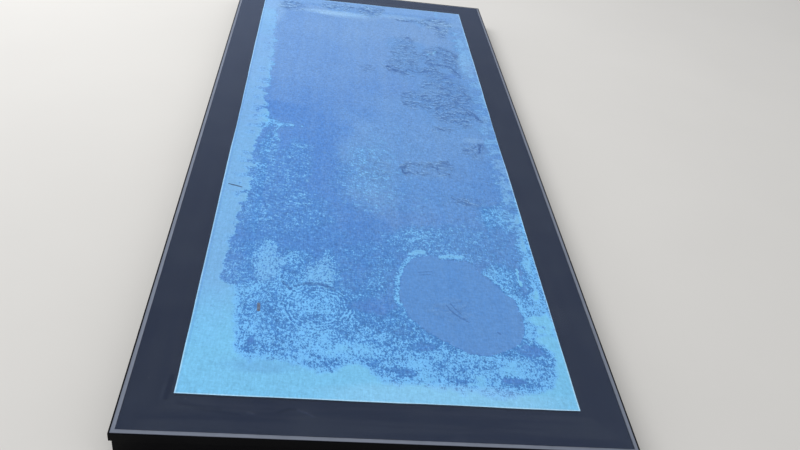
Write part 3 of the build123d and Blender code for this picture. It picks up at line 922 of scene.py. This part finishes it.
# Centre x and y, half width, half height, share of the place that is pale
PALE_SHARES = (
    (0.00, -0.52, 0.60, 0.13, 0.040),
    (0.00, -0.80, 0.60, 0.22, 0.09),
    (0.00, -1.05, 0.60, 0.16, 0.36),
    (0.03, -0.22, 0.20, 0.34, 0.050),
    (-0.01, -0.26, 0.11, 0.24, 0.13),
    (-0.015, -0.27, 0.06, 0.16, 0.26),
    (-0.02, -0.42, 0.08, 0.06, 0.12),
    (-0.340, -0.27, 0.045, 0.22, 0.30),
    (-0.24, -0.24, 0.055, 0.15, 0.19),
    (-0.27, -0.50, 0.15, 0.13, 0.22),
    (-0.34, -0.50, 0.06, 0.12, 0.22),
    (-0.15, -0.62, 0.08, 0.05, 0.13),
    (-0.36, -0.74, 0.05, 0.10, 0.24),
    (-0.30, -0.68, 0.04, 0.05, 0.36),
    (-0.21, -0.76, 0.07, 0.08, 0.42),
    (-0.03, -0.74, 0.08, 0.12, 0.18),
    (0.24, -0.60, 0.13, 0.09, 0.24),
    (0.13, -0.60, 0.10, 0.070, 0.36),
    (0.34, -0.76, 0.050, 0.08, 0.38),
    (0.38, -0.47, 0.06, 0.07, 0.40),
    (0.375, -0.60, 0.05, 0.09, 0.11),
    (0.38, -0.90, 0.05, 0.10, 0.60),
    (-0.28, -0.88, 0.10, 0.06, 0.60),
    (-0.22, -0.97, 0.14, 0.11, 0.52),
    (-0.15, -0.90, 0.10, 0.09, 0.55),
    (-0.05, -0.98, 0.05, 0.06, 0.36),
    (0.025, -0.96, 0.07, 0.05, 0.22),
    (-0.01, -0.885, 0.07, 0.035, 0.055),
    (0.03, -1.02, 0.06, 0.04, 0.48),
    (-0.05, -1.06, 0.09, 0.04, 0.80),
    (0.03, -1.09, 0.07, 0.03, 0.50),
    (0.22, -1.09, 0.22, 0.07, 0.72),
    (0.40, -1.07, 0.03, 0.05, 0.60),
    (0.05, -1.108, 0.034, 0.014, 0.14),
    (0.19, -1.128, 0.036, 0.011, 0.05),
    (0.20, -1.152, 0.030, 0.008, 0.06),
    (0.31, -1.120, 0.030, 0.016, 0.05),
    (0.37, -1.018, 0.034, 0.020, 0.12),
    (0.10, -1.02, 0.03, 0.02, 0.12),
    (-0.31, -1.04, 0.012, 0.034, 0.03),
    (-0.268, 0.001, 0.007, 0.006, 0.88),
    (-0.234, 0.000, 0.007, 0.006, 0.88),
)
# Centre x and y, half width, half height, how faded or greyed the clinging blue is
FADED_SHARES = (
    (0.22, 0.05, 0.22, 0.34, 0.66),
    (-0.01, -0.20, 0.110, 0.30, 0.66),
    (-0.22, -0.38, 0.17, 0.45, 0.04),
    (-0.05, -0.62, 0.10, 0.14, 0.10),
    (-0.01, -0.885, 0.090, 0.050, 0.14),
    (-0.25, 0.06, 0.12, 0.10, 0.04),
    (0.14, -0.05, 0.10, 0.12, 0.62),
    (-0.08, 1.055, 0.17, 0.040, 1.25),
    (-0.10, 1.05, 0.11, 0.024, 1.7),
    (0.325, 0.558, 0.044, 0.042, 0.22),
    (0.23, 0.36, 0.06, 0.05, 0.9),
    (0.25, 0.04, 0.05, 0.05, 0.75),
)
GREYED_SHARES = (
    (0.20, -0.10, 0.28, 0.40, 0.30),
    (0.30, 0.28, 0.16, 0.32, 0.45),
    (0.16, 0.66, 0.08, 0.20, 0.45),
    (0.31, 0.63, 0.10, 0.18, 0.50),
    (0.00, 1.13, 0.45, 0.06, 0.35),
    (-0.10, 1.05, 0.15, 0.040, 0.0),
    (0.325, 0.558, 0.044, 0.042, 0.0),
)
# Centre x and y, half width, half height, how dull the pale parts are
DULLED_SHARES = (
    (-0.29, -0.740, 0.045, 0.085, 0.48),
    (-0.15, -0.765, 0.045, 0.075, 0.48),
)
# Centre x and y, half width, half height, how whitened, by haze and in some places by a painted highlight
HAZE_AND_HIGHLIGHT_SHARES = (
    (-0.10, 1.050, 0.150, 0.034, 0.13),
    (-0.14, 1.060, 0.150, 0.026, 0.26),
    (-0.11, 1.052, 0.100, 0.018, 0.36),
    (0.15, 1.085, 0.120, 0.026, 0.15),
    (0.34, 1.050, 0.090, 0.036, 0.12),
    (-0.02, -0.20, 0.090, 0.260, 0.04),
    (0.41, 0.62, 0.030, 0.120, 0.12),
    (0.275, 0.715, 0.022, 0.014, 0.16),
    (0.36, 0.00, 0.040, 0.020, 0.10),
    (0.14, -1.180, 0.280, 0.040, 0.19),
    (0.18, -0.21, 0.090, 0.060, 0.04),
    (0.16, 0.65, 0.060, 0.120, 0.04),
    (-0.41, 0.60, 0.045, 0.400, 0.07),
    (-0.41, 1.02, 0.060, 0.150, 0.16),
)
# Centre x and y, half width, half height, how creased
CREASED_SHARES = (
    (0.175, -0.215, 0.085, 0.050, 0.36),
    (0.24, -0.19, 0.035, 0.030, 0.52),
    (0.36, -0.07, 0.050, 0.070, 0.34),
    (0.16, 0.66, 0.060, 0.210, 0.72),
    (0.13, 0.60, 0.045, 0.060, 0.92),
    (0.31, 0.66, 0.085, 0.130, 0.74),
    (0.25, 0.53, 0.070, 0.040, 0.92),
    (0.30, 0.30, 0.105, 0.210, 0.72),
    (0.34, 0.22, 0.045, 0.140, 0.80),
    (0.165, 0.27, 0.050, 0.080, 0.66),
    (0.03, 1.12, 0.055, 0.060, 1.00),
    (0.325, 1.045, 0.075, 0.062, 0.95),
    (0.345, 0.965, 0.028, 0.055, 0.66),
    (0.20, 1.060, 0.080, 0.020, 0.60),
    (0.34, 0.93, 0.030, 0.060, 0.60),
    (-0.12, 1.14, 0.090, 0.045, 0.72),
    (-0.33, 1.09, 0.065, 0.060, 0.85),
    (0.29, -0.385, 0.065, 0.028, 0.46),
    (0.01, -0.24, 0.060, 0.100, 0.30),
    (0.25, 0.06, 0.045, 0.025, 0.50),
    (0.00, 0.51, 0.035, 0.035, 0.42),
    (0.185, -0.885, 0.070, 0.060, 0.22),
    (0.325, 0.558, 0.036, 0.030, 0.0),
)
# Folds: half width, how creased, points
CREASE_LINES = (
    (
        0.012, 1.0,
        ((0.084, 0.542), (0.095, 0.525), (0.112, 0.517), (0.132, 0.515), (0.150, 0.512), (0.165, 0.526)),
    ),
    (0.009, 0.90, ((0.165, 0.526), (0.204, 0.511), (0.232, 0.536), (0.263, 0.530))),
    (0.009, 0.85, ((0.118, 0.612), (0.140, 0.618), (0.156, 0.608))),
    (0.008, 0.80, ((0.150, 0.722), (0.162, 0.706), (0.178, 0.698), (0.198, 0.712))),
    (0.008, 0.80, ((0.172, 0.842), (0.182, 0.858), (0.194, 0.826))),
    (
        0.012, 1.0,
        ((0.262, 0.612), (0.293, 0.600), (0.323, 0.600), (0.345, 0.584), (0.364, 0.548), (0.380, 0.508)),
    ),
    (0.009, 0.90, ((0.250, 0.668), (0.256, 0.690), (0.272, 0.706), (0.300, 0.732), (0.322, 0.780))),
    (0.009, 0.90, ((0.338, 0.764), (0.350, 0.748), (0.380, 0.722))),
    (0.007, 0.95, ((0.095, -0.215), (0.098, -0.245), (0.128, -0.238), (0.150, -0.241))),
    (0.007, 0.80, ((0.100, -0.205), (0.130, -0.180), (0.165, -0.186))),
    (0.007, 0.95, ((0.190, -0.180), (0.214, -0.200), (0.213, -0.230), (0.250, -0.231))),
    (0.007, 0.80, ((0.215, -0.165), (0.250, -0.160), (0.262, -0.180))),
    (0.008, 0.90, ((0.325, -0.075), (0.352, -0.055), (0.382, -0.028), (0.378, -0.078))),
    (0.015, 1.0, ((-0.018, 1.140), (0.015, 1.120), (0.034, 1.094), (0.055, 1.136), (0.074, 1.150))),
    (0.008, 0.75, ((0.152, 1.048), (0.210, 1.050), (0.270, 1.047))),
    (0.014, 1.0, ((0.270, 1.047), (0.294, 1.024), (0.319, 1.010), (0.336, 0.972))),
    (0.013, 1.0, ((0.296, 1.084), (0.330, 1.056), (0.353, 1.086), (0.380, 1.068))),
    (0.009, 0.90, ((0.330, 0.262), (0.350, 0.238), (0.386, 0.226))),
    (0.010, 0.95, ((0.372, 0.196), (0.398, 0.170), (0.420, 0.150))),
    (0.006, 0.50, ((0.250, -0.372), (0.280, -0.385), (0.325, -0.395))),
)


# The film's fields and height


def let_go_bands(x, y, ragged):
    """How far the film has let go in the bands along its four edges, from 0 to 1. Each band ends at its
    line, moved by a ragged distance."""
    far_off = eased(y, -0.9, -0.3)
    # Far off, the left band's border is torn into teeth that point across, with specks beside it
    torn = swing(x * 0.35, y, 0.022, 71, 0.036, 2) * far_off
    beside = eased(x, -0.440, -0.375) * far_off
    left_specks = 0.55 * eased(cloud(x * 0.6, y, 0.022, 72, 2), 0.44, 0.70) * beside
    softness = 0.006 + 0.022 * eased(-y, 0.78, 0.88)
    left_gap = np.interp(y, *zip(*LEFT_BAND)) - x + ragged + torn
    left = eased(left_gap / softness, -1.0, 1.0) * (1 - left_specks)
    near = eased(np.interp(x, *zip(*NEAR_BAND)) - y + ragged * 1.3, -0.045, 0.030)
    right_specks = (0.30 + 0.35 * eased(y, -0.56, -0.46)) * eased(cloud(x, y, 0.035, 28), 0.42, 0.66)
    right_share = 0.96 - 0.26 * eased(y, -0.5, -0.2) - right_specks * eased(y, -1.02, -0.94)
    right_gap = x - np.interp(y, *zip(*RIGHT_BAND)) + ragged * 1.2
    right = eased(right_gap, -0.020 - 0.008 * eased(y, -0.5, -0.3), 0.018) * right_share
    far = eased(y + ragged, 1.115, 1.165) * 0.85
    flecked = 0.05 * eased(-x, 0.36, 0.39) * eased(y, -1.10, -1.04) * eased(-y, 0.80, 0.86)
    return np.maximum.reduce([left, near, right, far]) * (0.996 - flecked)


def pale_share(x, y, ragged, in_patch, fresh):
    """The share of each place that is pale: little inside, then speckled patches and their cloud, the
    splashes, the broken rim of the smooth patch and its even inside, the bands along the edges, the
    pale lines and the fresh strip."""
    share = painted(0.012 + 0.02 * eased(-y, 0.0, 0.6), x + ragged, y - ragged, PALE_SHARES)
    clouded = swing(x, y, 0.045, 13, 1.8 + 1.5 * eased(-y, 0.6, 0.8))
    share = 1 / (1 + (1 / np.clip(share, 0.004, 0.996) - 1) * np.exp(-clouded))
    for splash in PALE_SPLASHES:
        inside = outline_distance(x + ragged, y + ragged, splash)
        share = towards(share, SPLASH_SHARE, eased(inside, -0.026, 0.016))
    left_side = eased(-(x - 0.07) + 0.2 * (y + 0.85), -0.06, 0.02)
    broken = 0.55 + swing(x, y, 0.02, 24, 0.9) + 0.30 * left_side
    rim = eased(in_patch, -0.013 - 0.006 * left_side, -0.004) * (0.32 + 0.55 * left_side) * broken
    share = np.maximum(share, np.clip(rim, 0.0, 0.97) * (in_patch < 0.002))
    share = towards(share, SMOOTH_SHARE, eased(in_patch, -0.001, 0.003))
    share = np.maximum(share, let_go_bands(x, y, ragged))
    for half, amount, points in PALE_LINES:
        gap = line_distance(x + ragged * 0.5, y + ragged * 0.5, points)
        share = np.maximum(share, amount * (1 - eased(gap, half * 0.3, half * 1.4)))
    return towards(share, FRESH_SHARE, fresh)


def film_fields(x, y):
    """The fields of the film, by name: lifted, the logit of the share that is pale; how dulled its pale
    parts and how faded and greyed its clinging parts are; how creased it is; seamed, which is how near a
    drawn fold lies, from its strength on the line to 0 at its half width; and how much it is whitened, by
    haze and in some places by a painted highlight."""
    ragged = swing(x, y, 0.030, 11, 0.018) + swing(x, y, 0.012, 12, 0.014, 2)
    in_patch = outline_distance(x + ragged * 0.35, y + ragged * 0.35, SMOOTH_PATCH)
    fresh = eased(x - np.interp(y, *zip(*FRESH_STRIP)) + ragged * 0.3, -0.003, 0.006)
    share = pale_share(x, y, ragged, in_patch, fresh)

    dulled = (0.60 + 0.20 * eased(y, -0.5, 0.3)) * eased(-x, 0.30, 0.40) * eased(y, -1.14, -0.72)
    dulled = dulled + 0.80 * eased(x, 0.32, 0.42) * eased(y, -0.85, -0.25)
    dulled = dulled + 0.75 * eased(y, 1.0, 1.12) + 0.45 * eased(y, -0.95, -0.5) * (np.abs(x) < 0.33)
    dulled = painted(dulled, x + ragged, y + ragged, DULLED_SHARES) + swing(x, y, 0.14, 25, 0.25)
    faded = 0.20 + 0.50 * eased(y, -0.1, 0.9) + 0.10 * eased(-y, 0.7, 1.0) + 0.10 * eased(x, -0.2, 0.2)
    loose_x, loose_y = x + swing(x, y, 0.13, 81, 0.15), y + swing(x, y, 0.13, 82, 0.22)
    faded = painted(faded, loose_x, loose_y, FADED_SHARES) + swing(x, y, 0.22, 14, 0.35)
    faded = faded * (1 - 0.8 * fresh) * (1 - 0.85 * eased(-y, 0.97, 1.02) * (in_patch < 0))
    greyed = painted(0.30 * eased(x, 0.30, 0.42) * eased(y, -1.1, -0.4), loose_x, loose_y, GREYED_SHARES)
    greyed = greyed + eased(in_patch, 0.0, 0.006) * 0.55
    greyed = greyed + swing(x, y, 0.12, 15, 0.04 + 0.14 * eased(y, -0.9, -0.5))

    creased = painted(np.zeros_like(x), x + ragged, y - ragged, CREASED_SHARES)
    creased = creased * (0.55 + 0.9 * cloud(x, y, 0.035, 16))
    bent_x, bent_y = x + swing(x, y, 0.018, 26, 0.018, 2), y + swing(x, y, 0.018, 27, 0.022, 2)
    seamed = np.zeros_like(x)
    for half, amount, points in CREASE_LINES:
        gap = line_distance(bent_x, bent_y, points)
        creased = np.maximum(creased, (1 - eased(gap, half * 0.6, half * 2.2)) * amount)
        seamed = np.maximum(seamed, (1 - gap / half) * amount)
    # Whitening near the right edge, then by patches: haze, and in some patches a painted highlight
    hazed = 0.05 * eased(x, 0.34, 0.44) * eased(y, 0.1, 0.7)
    return {
        "lifted": np.clip(np.log(share / (1 - share)) / 1.7, -5.0, 5.0),
        "dulled": np.clip(dulled * (1 - fresh), 0, 1),
        "faded": np.clip(faded, 0, 1),
        "greyed": np.clip(greyed * (1 - fresh), 0, 1),
        "creased": np.clip(creased, 0, 1),
        "seamed": seamed,
        "hazed": painted(hazed, x + ragged, y + ragged * 0.5, HAZE_AND_HIGHLIGHT_SHARES),
    }


def film_height(x, y, fields, film):
    """Height of the film's top above its lowest: a gentle sway, a lift under the pale flecks, ridges
    each side of the zero line of a wrinkle pattern, as high as the place is creased and lower on a
    drawn fold, and a curled edge that falls away over 6 mm."""
    sway = 0.10 * MM * cloud(x, y, 0.16, 21)
    loose = 0.10 * MM * eased(fields["lifted"], -1.0, 1.5) * (0.5 + cloud(x, y, 0.02, 22))
    wrinkle = swing(x + swing(x, y, 0.05, 17, 0.05), y + swing(x, y, 0.05, 18, 0.05), 0.022, 19, 1.0, 2)
    ridge = np.exp(-(((np.abs(wrinkle) - 0.11) / 0.06) ** 2)) - 0.4 * np.exp(-((wrinkle / 0.035) ** 2))
    pucker = film.wrinkle * fields["creased"] * np.clip(ridge, -0.12, 1.0) * (1 - 0.7 * fields["seamed"])
    gap = np.minimum(FILM_HIGH.x - np.abs(x), FILM_HIGH.y - np.abs(y))
    curl = film.curl * np.exp(-gap / (6 * MM)) * (0.35 + 1.1 * cloud(x, y, 0.12, 23))
    return np.maximum(sway + loose + pucker + curl, 0.0)


# The stage


def round_floor(colour):
    """A round floor just under the object: rings whose radii grow by squares."""
    rings, spokes, reach, height = 24, 64, 60.0, -0.6 * MM
    radius = (np.arange(rings + 1)[:, None] / rings) ** 2 * reach
    angle = np.arange(spokes)[None, :] / spokes * 2 * math.pi
    x, y = radius * np.cos(angle), radius * np.sin(angle)
    vertices = np.stack([x, y, np.full_like(x, height)], -1)[1:].reshape(-1, 3)
    vertices = np.concatenate([vertices, [[0.0, 0.0, height]]])
    index = np.arange(rings * spokes).reshape(rings, spokes)
    turned = np.roll(index, -1, 1)
    quads = np.stack([index[:-1], index[1:], turned[1:], turned[:-1]], -1).reshape(-1, 4)
    centre = np.stack([np.full(spokes, rings * spokes), index[0], turned[0]], -1)
    mesh = bpy.data.meshes.new("floor")
    mesh.from_pydata(vertices.tolist(), [], quads.tolist() + centre.tolist())
    mesh.update()
    nodes = Finish("Pale floor")
    tone = nodes.scaled(colour, nodes.noise(nodes.place, 1.5, 4.0) * 0.06 + 0.97)
    mesh.materials.append(nodes.complete(tone, 0.9, Specular_IOR_Level=0.2))
    floor = bpy.data.objects.new("floor", mesh)
    bpy.context.scene.collection.objects.link(floor)


def spread_sky(scene, stage):
    """A sky that lights evenly from all round and is seen by the camera, glass and metal in its own
    colour: low down it is brighter to the left, and high up a little darker."""
    world = scene.world or bpy.data.worlds.new("Sky")
    scene.world = world
    world.use_nodes = True
    world.node_tree.nodes.clear()
    nodes = Nodes(world.node_tree)
    rays = {socket.name: Value(nodes, socket) for socket in nodes.add("LightPath").outputs}
    seen = rays["Is Camera Ray"].at_least(rays["Is Glossy Ray"]).at_least(rays["Is Transmission Ray"])
    side, _, up = nodes.parts(nodes.out("TexCoord", output="Generated"))
    low, high = side.rise(-0.16, 0.24, 1.20, 0.74), side.rise(-0.20, 0.36, 0.84, 0.98)
    shade = nodes.blend(up.rise(0.36, 0.72), low, high)
    light = nodes.out("Background", {"Color": (1.0, 1.0, 1.0), "Strength": stage.sky_light})
    sky = nodes.out("Background", {"Color": stage.sky, "Strength": shade})
    nodes.add("OutputWorld", {0: nodes.out("MixShader", {0: seen, 1: light, 2: sky})})


def hang_lamp(scene, stage):
    """The large soft lamp, beyond the object and to its left, turned towards its middle."""
    lamp = bpy.data.lights.new("Soft lamp", "AREA")
    lamp.shape, lamp.size, lamp.energy = "DISK", stage.lamp_size, stage.lamp_power
    holder = bpy.data.objects.new("Soft lamp", lamp)
    scene.collection.objects.link(holder)
    holder.location = stage.lamp_place
    holder.rotation_euler = (-holder.location).to_track_quat("-Z", "Y").to_euler()
    holder.visible_glossy = holder.visible_transmission = False


def place_camera(scene, stage):
    """The camera, held by hand over the near end."""
    lens = bpy.data.cameras.new("Camera")
    lens.lens, lens.sensor_width = stage.lens, 36.0
    lens.clip_start, lens.clip_end = 0.05, 200.0
    camera = bpy.data.objects.new("Camera", lens)
    scene.collection.objects.link(camera)
    camera.location, camera.rotation_euler = stage.camera_place, stage.camera_turn
    scene.camera = camera


# Operators: one for each piece or group of like pieces, and one for the stage


class SKYLIGHT_OT_lay_film(bpy.types.Operator):
    """Lay the blue protective film on the glass, with its wrinkles, flecks and curled edge"""

    bl_idname = "skylight.lay_film"
    bl_label = "Lay film"

    def execute(self, context):
        film = context.scene.skylight_film
        # Grid lines stand closer together to the right and towards the near end
        x = grid_lines(FILM_LOW.x, 98, 0.05, 100, FILM_HIGH.x)
        y = grid_lines(FILM_LOW.y, 130, -0.6, 330, FILM_HIGH.y)
        grid_x, grid_y = np.meshgrid(x, y)
        fields = film_fields(grid_x, grid_y)
        bottom = FILM_LOW.z + film.bedding
        top = bottom + film.thickness + film_height(grid_x, grid_y, fields, film)
        vertices, faces = laid_sheet(x, y, top, bottom)
        # Cut by hand: the edge wanders, and drags the last few centimetres of the sheet with it
        dragged, place = 0.05, vertices.copy()
        for axis, half, size, seed in ((0, FILM_HIGH.x, 0.22, 62), (1, FILM_HIGH.y, 0.16, 61)):
            out, along = place[:, axis], place[:, 1 - axis]
            pull = eased(np.abs(out), half - dragged, half) * (cloud(along, 0.0 * along, size, seed) - 0.45)
            vertices[:, axis] += np.sign(out) * pull * film.cut_waver
        material = film_material(film)
        piece = make_piece("film_sheet", vertices, faces, material, ["protective_film"])
        below = np.zeros(len(vertices) - grid_x.size)
        for name, field in fields.items():
            set_field(piece, name, np.concatenate([field.ravel(), below]))
        return {"FINISHED"}


class SKYLIGHT_OT_fire_border(bpy.types.Operator):
    """Fire the black enamel border on the underside of the outer pane"""

    bl_idname = "skylight.fire_border"
    bl_label = "Fire border"

    def execute(self, context):
        glass = context.scene.skylight_glass
        half_x, half_y = PANE_HIGH.x, PANE_HIGH.y
        outer, inner = half_x - BORDER_HIGH.x, half_x - FILM_HIGH.x
        low, high = BORDER_LOW.z, BORDER_HIGH.z + glass.overlap
        along = steps_round(half_x, half_y, 0.05)
        waver = swing(along[0] * 3.0, along[1] * 7.0, 0.2, 31, 1.0)[:, None] * glass.print_waver
        inset = np.array([outer, inner, inner, outer])[None, :] + waver * np.array([0, 1, 1, 0])
        height = np.tile([low, low, high, high], (len(waver), 1))
        vertices, faces = carried_round(half_x, half_y, inset, height, along)
        make_piece("enamel_border", vertices, faces, enamel_material(glass), ["black_border"])
        return {"FINISHED"}


class SKYLIGHT_OT_tool_seal(bpy.types.Operator):
    """Run the grey weather seal round the glass and tool it to a slight hollow"""

    bl_idname = "skylight.tool_seal"
    bl_label = "Tool weather seal"

    def execute(self, context):
        settings = context.scene.skylight_frame
        half_x, half_y = PANE_HIGH.x, PANE_HIGH.y
        width, at_glass = SEAL_HIGH.x - half_x, SEAL_HIGH.z
        along = steps_round(half_x, half_y, 0.012)
        t, side = along
        run = (t + 3.0 * side) * np.where(side % 2 == 0, half_x, half_y)
        sways = ((0.09, 41), (0.05, 42), (0.07, 43))
        sways = [swing(run, 0.0 * run, size, seed, 2.0)[:, None] for size, seed in sways]
        sag_sway, lip_sway, glass_sway = sways
        # The sways die out at the corners
        corner = eased(1 - np.abs(t), 0.0, 0.02)[:, None]
        sag = (settings.sag + settings.sag_change * sag_sway) * (0.4 + 0.6 * corner)
        at_lip = at_glass - settings.seal_fall + settings.seal_waver * lip_sway * corner
        at_glass = at_glass + settings.seal_waver * glass_sway * corner * 0.6
        # The tooled face, from the lip to the glass: a straight fall less a parabola of the sag
        u = np.linspace(0.0, 1.0, 11)
        tooled = at_lip * (1 - u) + at_glass * u - sag * 4 * u * (1 - u)
        inset = np.tile(np.concatenate([-width * (1 - u), [0.0, -width]]), (len(run), 1))
        height = np.concatenate([tooled, np.full((len(run), 2), SEAL_LOW.z)], 1)
        vertices, faces = carried_round(half_x, half_y, inset, height, along)
        material = sealant_material(settings)
        make_piece("tooled_seal", vertices, faces, material, ["weather_seal"])
        return {"FINISHED"}


class SKYLIGHT_OT_glaze(bpy.types.Operator):
    """Give the panes their glass and lay the clear sheet between the inner plies"""

    bl_idname = "skylight.glaze"
    bl_label = "Glaze"

    def execute(self, context):
        glass = context.scene.skylight_glass
        dress(outer_glass(glass), "outer_pane")
        dress(clear_glass("Inner pane glass", glass.tint), "inner_pane_lower_ply", "inner_pane_upper_ply")
        # The sheet is trimmed a little inside the plies, and its cut edge wanders
        trim, wander = 0.6 * MM, 0.8 * MM
        x = np.linspace(LAYER_LOW.x + trim, LAYER_HIGH.x - trim, 41)
        y = np.linspace(LAYER_LOW.y + trim, LAYER_HIGH.y - trim, 97)
        flat = np.full((len(y), len(x)), LAYER_HIGH.z + glass.overlap)
        vertices, faces = laid_sheet(x, y, flat, LAYER_LOW.z - glass.overlap)
        cut = (np.abs(vertices[:, 0]) > x[-1] - 1e-6) | (np.abs(vertices[:, 1]) > y[-1] - 1e-6)
        waver = swing(vertices[:, 0], vertices[:, 1], 0.08, 51, wander) * cut
        vertices = vertices - np.sign(vertices) * (1, 1, 0) * waver[:, None]
        sheet = clear_glass("Clear interlayer", glass.interlayer, 0.03)
        make_piece("butyral_sheet", vertices, faces, sheet, ["inner_pane_interlayer"])
        return {"FINISHED"}


class SKYLIGHT_OT_coat_rails(bpy.types.Operator):
    """Coat the outer rails black and the inner rails white"""

    bl_idname = "skylight.coat_rails"
    bl_label = "Coat rails"

    def execute(self, context):
        settings = context.scene.skylight_frame
        dress(coated("Black powder coat", settings.black_coat, settings.dust, 0.05), "outer_rail_")
        dress(coated("White powder coat", settings.white_coat, settings.dust), "inner_rail_")
        return {"FINISHED"}


class SKYLIGHT_OT_fit_thermal_breaks(bpy.types.Operator):
    """Finish the polyamide strips that join the outer rails to the inner ones"""

    bl_idname = "skylight.fit_thermal_breaks"
    bl_label = "Fit thermal breaks"

    def execute(self, context):
        polyamide = coated("Black polyamide", (0.020, 0.020, 0.021), context.scene.skylight_frame.dust)
        dress(polyamide, "upper_break_strip_", "lower_break_strip_")
        return {"FINISHED"}


class SKYLIGHT_OT_close_unit(bpy.types.Operator):
    """Finish the spacer, its keys and desiccant, and the two seals of the glass unit's edge"""

    bl_idname = "skylight.close_unit"
    bl_label = "Close unit edge"

    def execute(self, context):
        settings = context.scene.skylight_frame
        dress(drawn_metal("Spacer metal across", settings.metal, "x"), "spacer_bar_near", "spacer_bar_far")
        dress(drawn_metal("Spacer metal along", settings.metal, "y"), "spacer_bar_left", "spacer_bar_right")
        dress(coated("Grey polyamide", settings.grey_plastic, settings.dust), "spacer_key_")
        dress(cellular("Desiccant beads", (0.750, 0.720, 0.660), 1.1 * MM, 0.5, 0.85), "desiccant_fill")
        dress(coated("Butyl", (0.015, 0.015, 0.015), settings.dust), "butyl_seal_upper", "butyl_seal_lower")
        dress(coated("Black silicone", (0.020, 0.020, 0.020), settings.dust), "edge_sealant")
        return {"FINISHED"}


class SKYLIGHT_OT_bed_glass(bpy.types.Operator):
    """Finish the bond, tapes, blocks and gaskets that the glass and the frame sit on"""

    bl_idname = "skylight.bed_glass"
    bl_label = "Bed glass and frame"

    def execute(self, context):
        settings = context.scene.skylight_frame
        dress(coated("Structural silicone", (0.018, 0.018, 0.019), settings.dust), "structural_bond")
        dress(cellular("Glazing tape foam", (0.024, 0.024, 0.025), 0.7 * MM, 0.12), "glazing_tape_")
        dress(cellular("Kerb gasket foam", (0.020, 0.020, 0.021), 0.9 * MM, 0.20), "kerb_gasket_")
        dress(coated("Moulded blocks", settings.grey_plastic, settings.dust), "setting_blocks")
        return {"FINISHED"}


class SKYLIGHT_OT_join_corners(bpy.types.Operator):
    """Finish the mill aluminium cleats inside the corners of the rails"""

    bl_idname = "skylight.join_corners"
    bl_label = "Join corners"

    def execute(self, context):
        metal = context.scene.skylight_frame.metal
        dress(drawn_metal("Mill aluminium", metal, "all", 0.40), "outer_cleat_", "inner_cleat_")
        return {"FINISHED"}


class SKYLIGHT_OT_set_stage(bpy.types.Operator):
    """Set the pale floor, the sky, the soft lamp and the camera"""

    bl_idname = "skylight.set_stage"
    bl_label = "Set stage"

    def execute(self, context):
        scene, stage = context.scene, context.scene.skylight_stage
        scene.view_settings.view_transform = "Standard"
        round_floor(stage.floor)
        spread_sky(scene, stage)
        hang_lamp(scene, stage)
        place_camera(scene, stage)
        return {"FINISHED"}


class SKYLIGHT_PT_panel(bpy.types.Panel):
    """Lists the skylight's settings and steps"""

    bl_label = "Skylight"
    bl_idname = "SKYLIGHT_PT_panel"
    bl_space_type = "VIEW_3D"
    bl_region_type = "UI"
    bl_category = "Skylight"

    def draw(self, context):
        for operator in STEPS:
            self.layout.operator(operator.bl_idname)
        for group in SETTINGS:
            box = self.layout.box()
            settings = getattr(context.scene, group)
            for name in settings.bl_rna.properties.keys():
                if name not in ("rna_type", "name"):
                    box.prop(settings, name)


SETTINGS = {
    "skylight_film": FilmSettings,
    "skylight_glass": GlassSettings,
    "skylight_frame": FrameSettings,
    "skylight_stage": StageSettings,
}
STEPS = (
    SKYLIGHT_OT_set_stage,
    SKYLIGHT_OT_lay_film,
    SKYLIGHT_OT_fire_border,
    SKYLIGHT_OT_tool_seal,
    SKYLIGHT_OT_glaze,
    SKYLIGHT_OT_coat_rails,
    SKYLIGHT_OT_fit_thermal_breaks,
    SKYLIGHT_OT_close_unit,
    SKYLIGHT_OT_bed_glass,
    SKYLIGHT_OT_join_corners,
)


def register():
    """Adds the settings, steps and panel."""
    for name, group in SETTINGS.items():
        bpy.utils.register_class(group)
        setattr(bpy.types.Scene, name, PointerProperty(type=group))
    for item in (*STEPS, SKYLIGHT_PT_panel):
        bpy.utils.register_class(item)


def unregister():
    """Removes what register adds."""
    for item in (SKYLIGHT_PT_panel, *reversed(STEPS)):
        bpy.utils.unregister_class(item)
    for name, group in SETTINGS.items():
        delattr(bpy.types.Scene, name)
        bpy.utils.unregister_class(group)


def main():
    """Registers the classes and takes the steps in order."""
    register()
    bpy.ops.skylight.set_stage()
    bpy.ops.skylight.lay_film()
    bpy.ops.skylight.fire_border()
    bpy.ops.skylight.tool_seal()
    bpy.ops.skylight.glaze()
    bpy.ops.skylight.coat_rails()
    bpy.ops.skylight.fit_thermal_breaks()
    bpy.ops.skylight.close_unit()
    bpy.ops.skylight.bed_glass()
    bpy.ops.skylight.join_corners()


if __name__ == "__main__":
    main()
